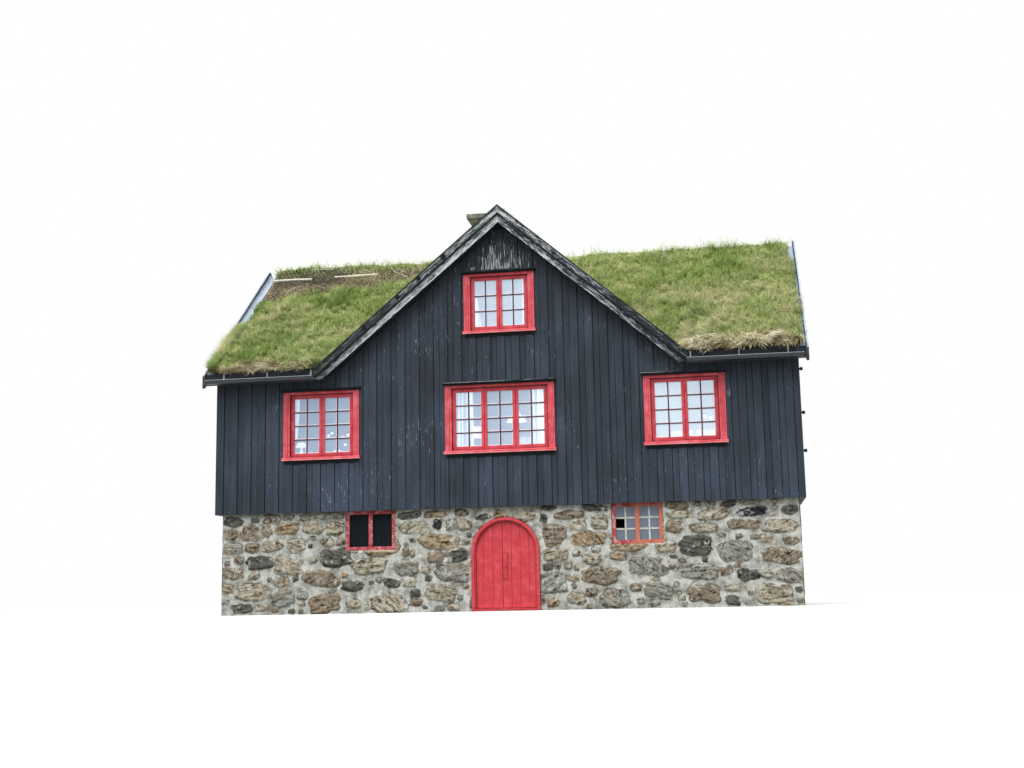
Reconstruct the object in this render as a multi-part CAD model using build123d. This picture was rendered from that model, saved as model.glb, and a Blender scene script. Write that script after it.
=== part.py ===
from build123d import *
import os
from math import radians, sqrt, tan

# Turf house. Millimetres, +Z up, the front faces -Y, the main ridge runs along X.
# The origin is at the middle of the plan, on the ground at the cellar door.

# House body
house_length = 11800
house_depth = 7900
timber_wall = 200
stone_inset = 90
stone_wall = 650
cellar_height = 2038
cellar_floor_thickness = 45
timber_height = 2812
storey_floor_thickness = 200
attic_floor_thickness = 150

# Roof, with the turf and its boards measured straight down
main_pitch = 36
gable_pitch_left = 39.7
gable_pitch_right = 40.85
gable_ridge_x = 100
plate_thickness = 60
turf_drop = 160
deck_drop = 60
eave_overhang = 325
verge_overhang = 150
board_thickness = 35

# Gable barge boards: a cap over an upper board that laps over a lower one. Each foot is cut
# plumb a little beyond the valley and level a little above the lower edge of the turf boards.
barge_rise = 135
barge_cap = 26
barge_cap_nose = 18
barge_upper_height = 176
barge_total_height = 336
barge_foot_past_valley = 150
barge_foot_rise = 35
barge_backing = 25

# Verge boards, which spread apart towards the ridge, with metal flashing on the turf beside
# them and a metal drip on their outer edges
verge_board = 60
verge_spread_left = 190
verge_spread_right = 90
verge_rise_at_ridge = 140
verge_rise_at_eave = 25
verge_hang = 235
verge_nose = 60
flashing_width = 150
flashing_upstand = 70
flashing_thickness = 4
flashing_drip = 25

# Turf boards, gutters and the straps that carry them
turf_board_top_drop = 5
turf_board_bottom_drop = 240
gutter_radius = 80
gutter_sheet = 4
gutter_bead = 9
gutter_rim_drop = 130
gutter_end_gap = 35
strap_width = 26
strap_thickness = 4
strap_start = 70
strap_pitch = 930

# Cellar door
door_x = 75
door_frame_radius = 678
door_lip_width = 54
door_lip_depth = 28
door_stop_width = 24
door_rebate_width = 30
door_leaf_play = 8
door_spring_z = 1148
door_meeting_x = 10
door_meeting_gap = 9
threshold_height = 50
leaf_thickness = 45
leaf_gap = 6
leaf_board_counts = (3, 4)
groove_width = 7
groove_depth = 6
ledge_heights = (620, 1330)
ledge_height = 110
ledge_thickness = 26
ledge_margin = 70
frame_proud = 55
frame_depth = 110
stop_depth = 70
arch_wall = 120
embrasure_half_width = 800
lintel_height = 104
lintel_bearing = 150
seat_gap = 0.3

# Door ironwork
hinge_heights = (330, 1010)
hinge_setback = 17
hinge_beside_leaf = 20
pin_radius = 8
pin_gap = 0.3
pin_rise = 8
eye_radius = 14
eye_height = 50
strap_length = 420
hinge_strap_width = 44
hinge_strap_tip = 24
hinge_strap_thickness = 6
pintle_plate_height = 90
pintle_lug = 22
lock_width = 82
lock_height = 480
lock_thickness = 20
lock_z = 875
lock_edge = 12
knob_radius = 20
knob_length = 46

# Cellar windows: left edge, right edge
cellar_window_spans = ((-3189, -2165), (2198, 3184))
cellar_window_sill = 1250
cellar_window_inset = 12
cellar_frame_depth = 80
cellar_frame_width = 70
cellar_mullion = 80
cellar_panel_thickness = 22

# Storey windows: left edge, right edge, bottom and top above the cellar, number of lights
front_windows = ((-4478, -2877, 1056, 2491, 2), (-1086, 1135, 1070, 2480, 3), (2910, 4496, 1102, 2503, 2))
back_windows = ((-4480, -2880, 1070, 2490, 2), (-1110, 1110, 1070, 2490, 3), (2880, 4480, 1070, 2490, 2))
end_window = (-800, 800, 1070, 2490, 2)

# Attic windows: the same, with bottom and top above the storey
gable_window = (-673, 774, 689, 1953, 2)
end_attic_window = (-620, 620, 689, 1740, 2)

# Window joinery
casing_side = 128
casing_head = 72
casing_thickness = 50
casing_step = 40
casing_step_depth = 16
sill_height = 64
sill_fall = 18
sill_projection = 95
sill_ear = 24
apron_height = 74
apron_thickness = 34
apron_inset = 30
drip_projection = 115
drip_ear = 42
drip_height = 48
drip_lip = 18
sash_inset = 18
sash_depth = 60
sash_border = 86
sash_mullion = 118
sash_gap = 9
sash_gap_depth = 14
glass_thickness = 6

# Chimney, with heights above the ridge
chimney_x = -905
chimney_width = 620
chimney_neck = 570
chimney_flare = 740
chimney_neck_rise = 845
chimney_flare_height = 200
cap_width = 800
cap_thickness = 105

# Hooks on the right end wall, with heights above the cellar
hook_heights = (907, 1648, 2507)
hook_radius = 16
hook_length = 72
hook_knob_radius = 36
hook_inset_from_front = 140

# Derived sizes
half_length = house_length / 2
half_depth = house_depth / 2
wall_top = cellar_height + timber_height
stone_half_length = half_length - stone_inset
stone_half_depth = half_depth - stone_inset
main_slope = tan(radians(main_pitch))
gable_slope_left = tan(radians(gable_pitch_left))
gable_slope_right = tan(radians(gable_pitch_right))
roof_drop = turf_drop + deck_drop
ridge_height = wall_top + plate_thickness + half_depth * main_slope + roof_drop
eave_y = half_depth + eave_overhang
deck_edge_y = eave_y - board_thickness
gable_edge_y = eave_y - board_thickness - barge_backing
verge_x = half_length + verge_overhang
verge_end_y = eave_y + verge_nose
stone_face_y = -stone_half_depth
door_lip_radius = door_frame_radius - door_lip_width
door_opening_radius = door_lip_radius - door_stop_width
door_rebate_radius = door_frame_radius - door_rebate_width
door_leaf_radius = door_rebate_radius - door_leaf_play
frame_front_y = stone_face_y - frame_proud
frame_back_y = frame_front_y + frame_depth
leaf_front_y = frame_front_y + stop_depth + leaf_gap
leaf_back_y = leaf_front_y + leaf_thickness
hinge_y = leaf_back_y + hinge_setback
arch_back_y = stone_face_y + arch_wall
leaf_bottom = threshold_height + leaf_gap
hinge_x_left = door_x - door_leaf_radius - hinge_beside_leaf
hinge_x_right = door_x + door_leaf_radius + hinge_beside_leaf
cut_over = 1


def block(x0, x1, y0, y1, z0, z1):
    corner = (Align.MIN, Align.MIN, Align.MIN)
    return Pos(x0, y0, z0) * Box(x1 - x0, y1 - y0, z1 - z0, align=corner)


def outline_xz(face, y0, y1):
    return extrude(Plane.XZ.offset(-y1) * face, y1 - y0)


def prism_xz(points, y0, y1):
    return outline_xz(make_face(Polyline(*points, close=True)), y0, y1)


def prism_yz(points, x0, x1):
    return extrude(Plane.YZ.offset(x0) * make_face(Polyline(*points, close=True)), x1 - x0)


def rod(x, y, z0, z1, radius):
    base = (Align.CENTER, Align.CENTER, Align.MIN)
    return Pos(x, y, z0) * Cylinder(radius, z1 - z0, align=base)


def save(name, *shapes):
    solids = [solid for shape in shapes for solid in shape.solids()]
    export_step(Compound(solids), f"parts/{name}.step")


def main_top(y):
    return ridge_height - abs(y) * main_slope


def gable_top(x):
    if x < gable_ridge_x:
        return ridge_height - (gable_ridge_x - x) * gable_slope_left
    return ridge_height - (x - gable_ridge_x) * gable_slope_right


def valley_x(y, side):
    slope = gable_slope_left if side < 0 else gable_slope_right
    return gable_ridge_x + side * abs(y) * main_slope / slope


def barge_foot(side):
    return valley_x(gable_edge_y, side) + side * barge_foot_past_valley


def verge_inner_x(y, side):
    spread = verge_spread_left if side < 0 else verge_spread_right
    return side * (verge_x + spread * (1 - abs(y) / verge_end_y))


def slope_slab(plan, surface, drop, depth):
    corners = [(x, y, surface(x, y) - drop) for x, y in plan]
    face = Face(Wire.make_polygon(corners, close=True))
    return extrude(face, amount=depth, dir=(0, 0, -1))


# Arched outlines of the cellar door

def arch(radius, bottom, y0, y1):
    left = door_x - radius
    right = door_x + radius
    crown = (door_x, door_spring_z + radius)
    sides = Polyline((left, door_spring_z), (left, bottom), (right, bottom), (right, door_spring_z))
    head = ThreePointArc((right, door_spring_z), crown, (left, door_spring_z))
    return outline_xz(make_face(sides + head), y0, y1)


def arch_half_width(radius, z):
    rise = max(0, z - door_spring_z)
    return sqrt(radius ** 2 - rise ** 2)


# Stone cellar

def cellar_window_hole(span):
    front = stone_face_y - cut_over
    back = stone_face_y + stone_wall + cut_over
    return block(span[0], span[1], front, back, cellar_window_sill, cellar_height + cut_over)


def make_cellar():
    inner_y = stone_face_y + stone_wall
    embrasure_left = door_x - embrasure_half_width
    embrasure_right = door_x + embrasure_half_width
    lintel_z = cellar_height - lintel_height
    lintel_left = embrasure_left - lintel_bearing
    lintel_right = embrasure_right + lintel_bearing
    lintel = block(lintel_left, lintel_right, arch_back_y, inner_y, lintel_z, cellar_height)
    left = block(-stone_half_length, embrasure_left, stone_face_y, inner_y, 0, cellar_height)
    right = block(embrasure_right, stone_half_length, stone_face_y, inner_y, 0, cellar_height)
    save("cellar_wall_front_left", left - cellar_window_hole(cellar_window_spans[0]) - lintel)
    save("cellar_wall_front_right", right - cellar_window_hole(cellar_window_spans[1]) - lintel)
    save("cellar_lintel", lintel)
    panel = block(embrasure_left, embrasure_right, stone_face_y, arch_back_y, 0, cellar_height)
    hole = arch(door_frame_radius + seat_gap, -cut_over, stone_face_y - cut_over, arch_back_y + cut_over)
    save("cellar_arch", panel - hole)
    back = block(-stone_half_length, stone_half_length, -inner_y, stone_half_depth, 0, cellar_height)
    save("cellar_wall_back", back)
    inner_x = stone_half_length - stone_wall
    save("cellar_wall_left", block(-stone_half_length, -inner_x, inner_y, -inner_y, 0, cellar_height))
    save("cellar_wall_right", block(inner_x, stone_half_length, inner_y, -inner_y, 0, cellar_height))
    room = block(-inner_x, inner_x, inner_y, -inner_y, 0, cellar_floor_thickness)
    passage = block(embrasure_left, embrasure_right, arch_back_y, inner_y, 0, cellar_floor_thickness)
    sill = door_frame_radius
    doorway = block(door_x - sill, door_x + sill, frame_back_y, arch_back_y, 0, cellar_floor_thickness)
    save("cellar_floor", room + passage + doorway)


# Cellar door: frame, two leaves, ironwork

def make_door_frame():
    frame = arch(door_frame_radius, 0, frame_front_y, frame_back_y)
    frame -= arch(door_lip_radius, threshold_height, frame_front_y - cut_over, frame_front_y + door_lip_depth)
    frame -= arch(door_opening_radius, threshold_height, frame_front_y, frame_back_y + cut_over)
    frame -= arch(door_rebate_radius, threshold_height, frame_front_y + stop_depth, frame_back_y + cut_over)
    save("door_frame", frame)


def leaf(side, board_count):
    edge = door_meeting_x + side * door_meeting_gap / 2
    far = door_x + side * door_leaf_radius
    left = min(edge, far)
    right = max(edge, far)
    top = door_spring_z + door_leaf_radius
    whole = arch(door_leaf_radius, leaf_bottom, leaf_front_y, leaf_back_y)
    boards = whole & block(left, right, leaf_front_y, leaf_back_y, 0, top)
    for number in range(1, board_count):
        x = left + number * (right - left) / board_count
        near = (x - groove_width / 2, leaf_front_y)
        deep = (x, leaf_front_y + groove_depth)
        other = (x + groove_width / 2, leaf_front_y)
        boards -= extrude(make_face(Polyline(near, deep, other, close=True)), top)
    ledges = []
    for z in ledge_heights:
        half_reach = arch_half_width(door_leaf_radius, z + ledge_height) - ledge_margin
        ends = sorted((edge + side * ledge_margin, door_x + side * half_reach))
        ledges.append(block(*ends, leaf_back_y, leaf_back_y + ledge_thickness, z, z + ledge_height))
    return boards + ledges


def hinge_strap(side, hinge_x, z):
    tip_x = hinge_x - side * strap_length
    wide = hinge_strap_width / 2
    narrow = hinge_strap_tip / 2
    taper = [(hinge_x, z - wide), (hinge_x, z + wide), (tip_x, z + narrow), (tip_x, z - narrow)]
    plate = prism_xz(taper, leaf_back_y, leaf_back_y + hinge_strap_thickness)
    eye = rod(hinge_x, hinge_y, z - eye_height / 2, z + eye_height / 2, eye_radius)
    bore = rod(hinge_x, hinge_y, z - eye_height, z + eye_height, pin_radius + pin_gap)
    return plate + eye - bore


def pintle(side, hinge_x, z):
    lug_top = z - eye_height / 2 - pin_gap
    outer_x = hinge_x + side * (door_frame_radius - door_leaf_radius - hinge_beside_leaf)
    inner_x = door_x + side * door_rebate_radius
    plate = block(
        min(inner_x, outer_x), max(inner_x, outer_x), frame_back_y, frame_back_y + hinge_strap_thickness,
        lug_top - pintle_plate_height, lug_top,
    )
    half_lug = pintle_lug / 2
    lug_bottom = lug_top - pintle_lug
    lug = block(hinge_x - half_lug, hinge_x + half_lug, frame_back_y, hinge_y + half_lug, lug_bottom, lug_top)
    pin = rod(hinge_x, hinge_y, lug_bottom, z + eye_height / 2 + pin_rise, pin_radius)
    return plate + lug + pin


def make_door_leaves():
    leaves = (("left", -1, hinge_x_left), ("right", 1, hinge_x_right))
    for (name, side, hinge_x), board_count in zip(leaves, leaf_board_counts):
        save(f"door_leaf_{name}", leaf(side, board_count))
        save(f"door_straps_{name}", *[hinge_strap(side, hinge_x, z) for z in hinge_heights])
        save(f"door_pintles_{name}", *[pintle(side, hinge_x, z) for z in hinge_heights])
    case_x = door_meeting_x + door_meeting_gap / 2 + lock_edge
    case_y = leaf_front_y - lock_thickness
    half_lock = lock_height / 2
    case = block(case_x, case_x + lock_width, case_y, leaf_front_y, lock_z - half_lock, lock_z + half_lock)
    knob = Cylinder(knob_radius, knob_length, align=(Align.CENTER, Align.CENTER, Align.MIN))
    knob_place = Plane((case_x + lock_width / 2, case_y, lock_z), z_dir=(0, -1, 0))
    save("door_lock", case + knob_place * knob)


# Cellar windows

def cellar_frame(span):
    front = stone_face_y + cellar_window_inset
    back = front + cellar_frame_depth
    frame = block(span[0], span[1], front, back, cellar_window_sill, cellar_height)
    for light in cellar_lights(span):
        frame -= block(light[0], light[1], front - cut_over, back + cut_over, light[2], light[3])
    return frame


def cellar_lights(span):
    middle = (span[0] + span[1]) / 2
    low = cellar_window_sill + cellar_frame_width
    high = cellar_height - cellar_frame_width
    left = (span[0] + cellar_frame_width, middle - cellar_mullion / 2, low, high)
    right = (middle + cellar_mullion / 2, span[1] - cellar_frame_width, low, high)
    return (left, right)


def cellar_sheet(light, thickness):
    x0, x1, z0, z1 = light
    middle = stone_face_y + cellar_window_inset + cellar_frame_depth / 2
    return block(x0, x1, middle - thickness / 2, middle + thickness / 2, z0, z1)


def make_cellar_windows():
    save("cellar_windows", *[cellar_frame(span) for span in cellar_window_spans])
    left_lights = cellar_lights(cellar_window_spans[0])
    right_lights = cellar_lights(cellar_window_spans[1])
    save("cellar_window_panels", *[cellar_sheet(light, cellar_panel_thickness) for light in left_lights])
    x0, x1, z0, z1 = right_lights[0]
    third = (z1 - z0) / 3
    missing = cellar_sheet((x0, (x0 + x1) / 2, z0 + third, z1 - third), cellar_frame_depth)
    panes = [cellar_sheet(light, glass_thickness) for light in right_lights]
    save("cellar_glass", panes[0] - missing, panes[1])


# Storey windows, drawn on a wall that faces -Y with its face at y = 0

def raised(window, floor):
    x0, x1, z0, z1, lights = window
    return x0, x1, floor + z0, floor + z1, lights


def window_hole(window):
    x0, x1, z0, z1, lights = window
    front = -casing_thickness - cut_over
    back = timber_wall + cut_over
    return block(x0 + casing_side, x1 - casing_side, front, back, z0 + sill_height, z1 - casing_head)


def window_lights(window):
    x0, x1, z0, z1, lights = window
    left = x0 + casing_side + sash_border
    right = x1 - casing_side - sash_border
    width = (right - left - (lights - 1) * sash_mullion) / lights
    low = z0 + sill_height + sash_border
    high = z1 - casing_head - sash_border
    starts = [left + number * (width + sash_mullion) for number in range(lights)]
    return [(start, start + width, low, high) for start in starts]


def casing(window):
    x0, x1, z0, z1, lights = window
    side = casing_side - casing_step
    head = casing_head - casing_step
    boards = block(x0, x1, -casing_thickness, 0, z0 + sill_height, z1) - window_hole(window)
    step_back = casing_step_depth - casing_thickness
    boards -= block(x0 + side, x1 - side, -casing_thickness, step_back, z0 + sill_height, z1 - head)
    section = [
        (0, z0), (0, z0 + sill_height), (-casing_thickness, z0 + sill_height),
        (-sill_projection, z0 + sill_height - sill_fall), (-sill_projection, z0),
    ]
    return boards + prism_yz(section, x0 - sill_ear, x1 + sill_ear)


def apron(window):
    x0, x1, z0, z1, lights = window
    return block(x0 + apron_inset, x1 - apron_inset, -apron_thickness, 0, z0 - apron_height, z0)


def sash(window):
    x0, x1, z0, z1, lights = window
    back = sash_inset + sash_depth
    frame = window_hole(window) & block(x0, x1, sash_inset, back, z0, z1)
    left = x0 + casing_side
    right = x1 - casing_side
    low = z0 + sill_height
    high = z1 - casing_head
    groove = block(left, right, sash_inset, sash_inset + sash_gap_depth, low, high)
    groove -= block(left + sash_gap, right - sash_gap, 0, timber_wall, low + sash_gap, high - sash_gap)
    frame -= groove
    openings = window_lights(window)
    for left, right, low, high in openings:
        frame -= block(left, right, 0, timber_wall, low, high)
    for light, beside in zip(openings, openings[1:]):
        joint_x = (light[1] + beside[0]) / 2
        joint = (joint_x - sash_gap / 2, joint_x + sash_gap / 2, sash_inset, sash_inset + sash_gap_depth)
        frame -= block(*joint, z0, z1)
    return frame


def glass(window):
    front = sash_inset + sash_depth / 2 - glass_thickness / 2
    panes = []
    for left, right, low, high in window_lights(window):
        panes.append(block(left, right, front, front + glass_thickness, low, high))
    return Compound(panes)


def drip_board(window):
    x0, x1, z0, z1, lights = window
    section = [(0, z1), (-drip_projection, z1), (-drip_projection, z1 + drip_lip), (0, z1 + drip_height)]
    return prism_yz(section, x0 - drip_ear, x1 + drip_ear)


front_face = Pos(0, -half_depth, 0)
back_face = Pos(0, half_depth, 0) * Rot(0, 0, 180)
left_face = Pos(-half_length, 0, 0) * Rot(0, 0, -90)
right_face = Pos(half_length, 0, 0) * Rot(0, 0, 90)


front_openings = [raised(window, cellar_height) for window in front_windows]
gable_opening = raised(gable_window, wall_top)
back_openings = [raised(window, cellar_height) for window in back_windows]
end_openings = [raised(end_window, cellar_height), raised(end_attic_window, wall_top)]


def make_windows():
    save("window_casings_front", *[front_face * casing(window) for window in front_openings])
    save("window_casing_gable", front_face * casing(gable_opening))
    save("window_sashes_front", *[front_face * sash(window) for window in front_openings])
    save("window_sash_gable", front_face * sash(gable_opening))
    shown = front_openings + [gable_opening]
    save("window_glass_front", *[front_face * glass(window) for window in shown])
    others = [(back_face, window) for window in back_openings]
    others += [(face, window) for face in (left_face, right_face) for window in end_openings]
    every = [(front_face, window) for window in shown] + others
    save("window_drip_boards", *[face * drip_board(window) for face, window in every])
    save("window_aprons", *[face * apron(window) for face, window in every])
    save("window_casings_back_and_ends", *[face * casing(window) for face, window in others])
    save("window_sashes_back_and_ends", *[face * sash(window) for face, window in others])
    save("window_glass_back_and_ends", *[face * glass(window) for face, window in others])


# Timber storey

def make_timber_walls():
    underside_at_wall = main_top(half_depth) - roof_drop
    inner_y = half_depth - timber_wall
    inner_x = half_length - timber_wall
    underside_inside = main_top(inner_y) - roof_drop
    front = block(-half_length, half_length, -half_depth, -inner_y, cellar_height, wall_top)
    for window in front_openings:
        front -= front_face * window_hole(window)
    save("front_wall", front)
    back = block(-half_length, half_length, inner_y, half_depth, cellar_height, wall_top)
    for window in back_openings:
        back -= back_face * window_hole(window)
    save("back_wall", back)
    apex = ridge_height - roof_drop
    foot_left = gable_ridge_x - (apex - wall_top) / gable_slope_left
    foot_right = gable_ridge_x + (apex - wall_top) / gable_slope_right
    gable_outline = [(foot_left, wall_top), (foot_right, wall_top), (gable_ridge_x, apex)]
    gable = prism_xz(gable_outline, -half_depth, -inner_y)
    save("front_gable", gable - front_face * window_hole(gable_opening))
    plate = [
        (-half_depth, wall_top), (-inner_y, wall_top), (-inner_y, underside_inside),
        (-half_depth, underside_at_wall),
    ]
    front_plates = prism_yz(plate, -half_length, half_length) - gable
    back_plate = prism_yz([(-y, z) for y, z in plate], -half_length, half_length)
    save("wall_plates", front_plates, back_plate)
    end = [
        (-inner_y, cellar_height), (inner_y, cellar_height), (inner_y, underside_inside), (0, apex),
        (-inner_y, underside_inside),
    ]
    left = prism_yz(end, -half_length, -inner_x)
    right = prism_yz(end, inner_x, half_length)
    for window in end_openings:
        left -= left_face * window_hole(window)
        right -= right_face * window_hole(window)
    save("left_end_wall", left)
    save("right_end_wall", right)


def chimney_shaft(z0, z1):
    half = chimney_width / 2
    return block(chimney_x - half, chimney_x + half, -half, half, z0, z1)


def make_floors():
    inner_y = half_depth - timber_wall
    inner_x = half_length - timber_wall
    shaft = chimney_shaft(0, ridge_height)
    room = (-inner_x, inner_x, -inner_y, inner_y)
    save("storey_floor", block(*room, cellar_height, cellar_height + storey_floor_thickness) - shaft)
    save("attic_floor", block(*room, wall_top - attic_floor_thickness, wall_top) - shaft)


# Roof: each slope is a slab between two parallel planes over its own plan

def slope_plans():
    plans = {}
    for name, side in (("left", -1), ("right", 1)):
        valley = valley_x(gable_edge_y, side)
        foot = barge_foot(side)
        plans[f"front_{name}"] = [
            (gable_ridge_x, 0), (valley, -gable_edge_y), (foot, -gable_edge_y), (foot, -deck_edge_y),
            (verge_inner_x(deck_edge_y, side), -deck_edge_y), (verge_inner_x(0, side), 0),
        ]
        plans[f"gable_{name}"] = [(gable_ridge_x, 0), (valley, -gable_edge_y), (gable_ridge_x, -gable_edge_y)]
    plans["back"] = [
        (verge_inner_x(0, -1), 0), (verge_inner_x(0, 1), 0), (verge_inner_x(deck_edge_y, 1), deck_edge_y),
        (verge_inner_x(deck_edge_y, -1), deck_edge_y),
    ]
    return plans


def make_roof():
    shaft = chimney_shaft(0, ridge_height + cut_over)
    for name, plan in slope_plans().items():
        surface = (lambda x, y: gable_top(x)) if name.startswith("gable") else (lambda x, y: main_top(y))
        save(f"roof_deck_{name}", slope_slab(plan, surface, turf_drop, deck_drop) - shaft)
        save(f"turf_{name}", slope_slab(plan, surface, 0, turf_drop) - shaft)


# Boards along the edges of the roof

turf_board_low = main_top(deck_edge_y) - turf_board_bottom_drop
turf_board_high = main_top(deck_edge_y) - turf_board_top_drop


def barge(side):
    foot = barge_foot(side)

    def line(rise, x0, x1):
        return [(x0, gable_top(x0) + rise), (x1, gable_top(x1) + rise)]

    def strip(top, bottom, y0, y1):
        return prism_xz(line(top, gable_ridge_x, foot) + line(bottom, foot, gable_ridge_x), y0, y1)

    under_cap = barge_rise - barge_cap
    lap_y = -eave_y + board_thickness
    cap = strip(barge_rise, under_cap, -eave_y - barge_cap_nose, -gable_edge_y)
    upper = strip(under_cap, under_cap - barge_upper_height, -eave_y, lap_y)
    lower = strip(under_cap, under_cap - barge_total_height, lap_y, -gable_edge_y)
    below_foot = turf_board_low + barge_foot_rise
    front = -eave_y - barge_cap_nose - cut_over
    return cap + upper + lower - block(-verge_x, verge_x, front, 0, 0, below_foot)


def verge_line(rise_at_ridge, rise_at_eave):
    low = main_top(verge_end_y) + rise_at_eave
    return [(-verge_end_y, low), (0, ridge_height + rise_at_ridge), (verge_end_y, low)]


# A strip along one verge, between two slanting lines in height and two distances from the turf
def verge_strip(side, upper, lower, near, far):
    stations = (-verge_end_y, 0, verge_end_y)
    inner = [(verge_inner_x(y, side) + side * near, y) for y in stations]
    outer = [(verge_inner_x(y, side) + side * far, y) for y in stations]
    plan = extrude(make_face(Polyline(*inner, *outer[::-1], close=True)), 2 * ridge_height)
    return plan & prism_yz(upper + lower[::-1], -house_length, house_length)


def raised_line(line, rise):
    return [(y, z + rise) for y, z in line]


def verge_flashing(side):
    turf = verge_line(0, 0)
    sheet_top = raised_line(turf, flashing_thickness)
    sheet = verge_strip(side, sheet_top, turf, -flashing_width, 0)
    upstand_top = verge_line(flashing_upstand, verge_rise_at_eave)
    upstand = verge_strip(side, upstand_top, sheet_top, -flashing_thickness, 0)
    over_turf = block(-house_length, house_length, -deck_edge_y, deck_edge_y, 0, 2 * ridge_height)
    return (sheet + upstand) & over_turf


def verge_drip(side):
    board_top = verge_line(verge_rise_at_ridge, verge_rise_at_eave)
    top = raised_line(board_top, flashing_thickness)
    low = raised_line(board_top, -flashing_drip)
    edge = verge_strip(side, top, board_top, verge_board / 2, verge_board)
    return edge + verge_strip(side, top, low, verge_board, verge_board + flashing_thickness)


def make_roof_boards():
    save("gable_barge_left", barge(-1))
    save("gable_barge_right", barge(1))
    board_top = verge_line(verge_rise_at_ridge, verge_rise_at_eave)
    board_bottom = verge_line(-verge_hang, -verge_hang)
    sides = (-1, 1)
    save("verge_boards", *[verge_strip(side, board_top, board_bottom, 0, verge_board) for side in sides])
    save("verge_flashings", *[verge_flashing(side) for side in sides], *[verge_drip(side) for side in sides])
    low = turf_board_low
    high = turf_board_high
    save(
        "turf_boards",
        block(-verge_x, barge_foot(-1), -eave_y, -deck_edge_y, low, high),
        block(barge_foot(1), verge_x, -eave_y, -deck_edge_y, low, high),
        block(-verge_x, verge_x, deck_edge_y, eave_y, low, high),
    )


# Half-round gutters on straps, drawn for the front eave and running outwards from the gable

gutter_rim_z = main_top(eave_y) - gutter_rim_drop
gutter_y = -eave_y - strap_thickness - seat_gap - gutter_radius


def half_ring(x0, x1, inner, outer):
    along = Plane((x0, gutter_y, gutter_rim_z), x_dir=(0, 1, 0), z_dir=(1, 0, 0))
    ring = extrude(along * (Circle(outer) - Circle(inner)), x1 - x0)
    reach = outer + cut_over
    lower = block(x0, x1, gutter_y - reach, gutter_y + reach, gutter_rim_z - reach, gutter_rim_z)
    return ring & lower


def gutter(x0, x1):
    bead_place = Plane((x0, gutter_y - gutter_radius + gutter_bead, gutter_rim_z), z_dir=(1, 0, 0))
    bead = bead_place * Cylinder(gutter_bead, x1 - x0, align=(Align.CENTER, Align.CENTER, Align.MIN))
    return half_ring(x0, x1, gutter_radius - gutter_sheet, gutter_radius) + bead


def gutter_strap(x):
    x0 = x - strap_width / 2
    x1 = x + strap_width / 2
    inner = gutter_radius + seat_gap
    flat = block(x0, x1, -eave_y - strap_thickness, -eave_y, gutter_rim_z, turf_board_high)
    return half_ring(x0, x1, inner, inner + strap_thickness) + flat


def strap_places(start, end):
    side = 1 if end > start else -1
    count = int((abs(end - start) - strap_start) // strap_pitch) + 1
    return [start + side * (strap_start + number * strap_pitch) for number in range(count)]


def make_gutters():
    turn = Rot(0, 0, 180)
    outer_end = verge_x - gutter_end_gap
    left_end = barge_foot(-1)
    right_end = barge_foot(1)
    front = [gutter(-outer_end, left_end), gutter(right_end, outer_end)]
    save("gutters", *front, turn * gutter(-outer_end, outer_end))
    front_places = strap_places(left_end, -outer_end) + strap_places(right_end, outer_end)
    back_places = strap_places(-outer_end, outer_end)
    straps = [gutter_strap(x) for x in front_places] + [turn * gutter_strap(x) for x in back_places]
    save("gutter_straps", *straps)


# Chimney and hooks

def square_at(width, z):
    return Pos(chimney_x, 0, z) * Rectangle(width, width)


def make_chimney():
    neck_z = ridge_height + chimney_neck_rise
    cap_z = neck_z + chimney_flare_height
    shaft = chimney_shaft(cellar_floor_thickness, ridge_height)
    neck = loft([square_at(chimney_width, ridge_height), square_at(chimney_neck, neck_z)])
    flare = loft([square_at(chimney_neck, neck_z), square_at(chimney_flare, cap_z)])
    save("chimney_stack", shaft + neck + flare)
    half = cap_width / 2
    save("chimney_cap", block(chimney_x - half, chimney_x + half, -half, half, cap_z, cap_z + cap_thickness))


def wall_hook(height):
    place = Plane((half_length, -half_depth + hook_inset_from_front, cellar_height + height), z_dir=(1, 0, 0))
    shank = Cylinder(hook_radius, hook_length, align=(Align.CENTER, Align.CENTER, Align.MIN))
    return place * (shank + Pos(0, 0, hook_length) * Sphere(hook_knob_radius))


def make_wall_hooks():
    save("wall_hooks", *[wall_hook(height) for height in hook_heights])


os.makedirs("parts", exist_ok=True)
make_cellar()
make_door_frame()
make_door_leaves()
make_cellar_windows()
make_windows()
make_timber_walls()
make_floors()
make_roof()
make_roof_boards()
make_gutters()
make_chimney()
make_wall_hooks()
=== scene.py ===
import math
import random
from functools import partial
import bpy
import numpy as np
from mathutils import Matrix, Vector, noise


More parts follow.
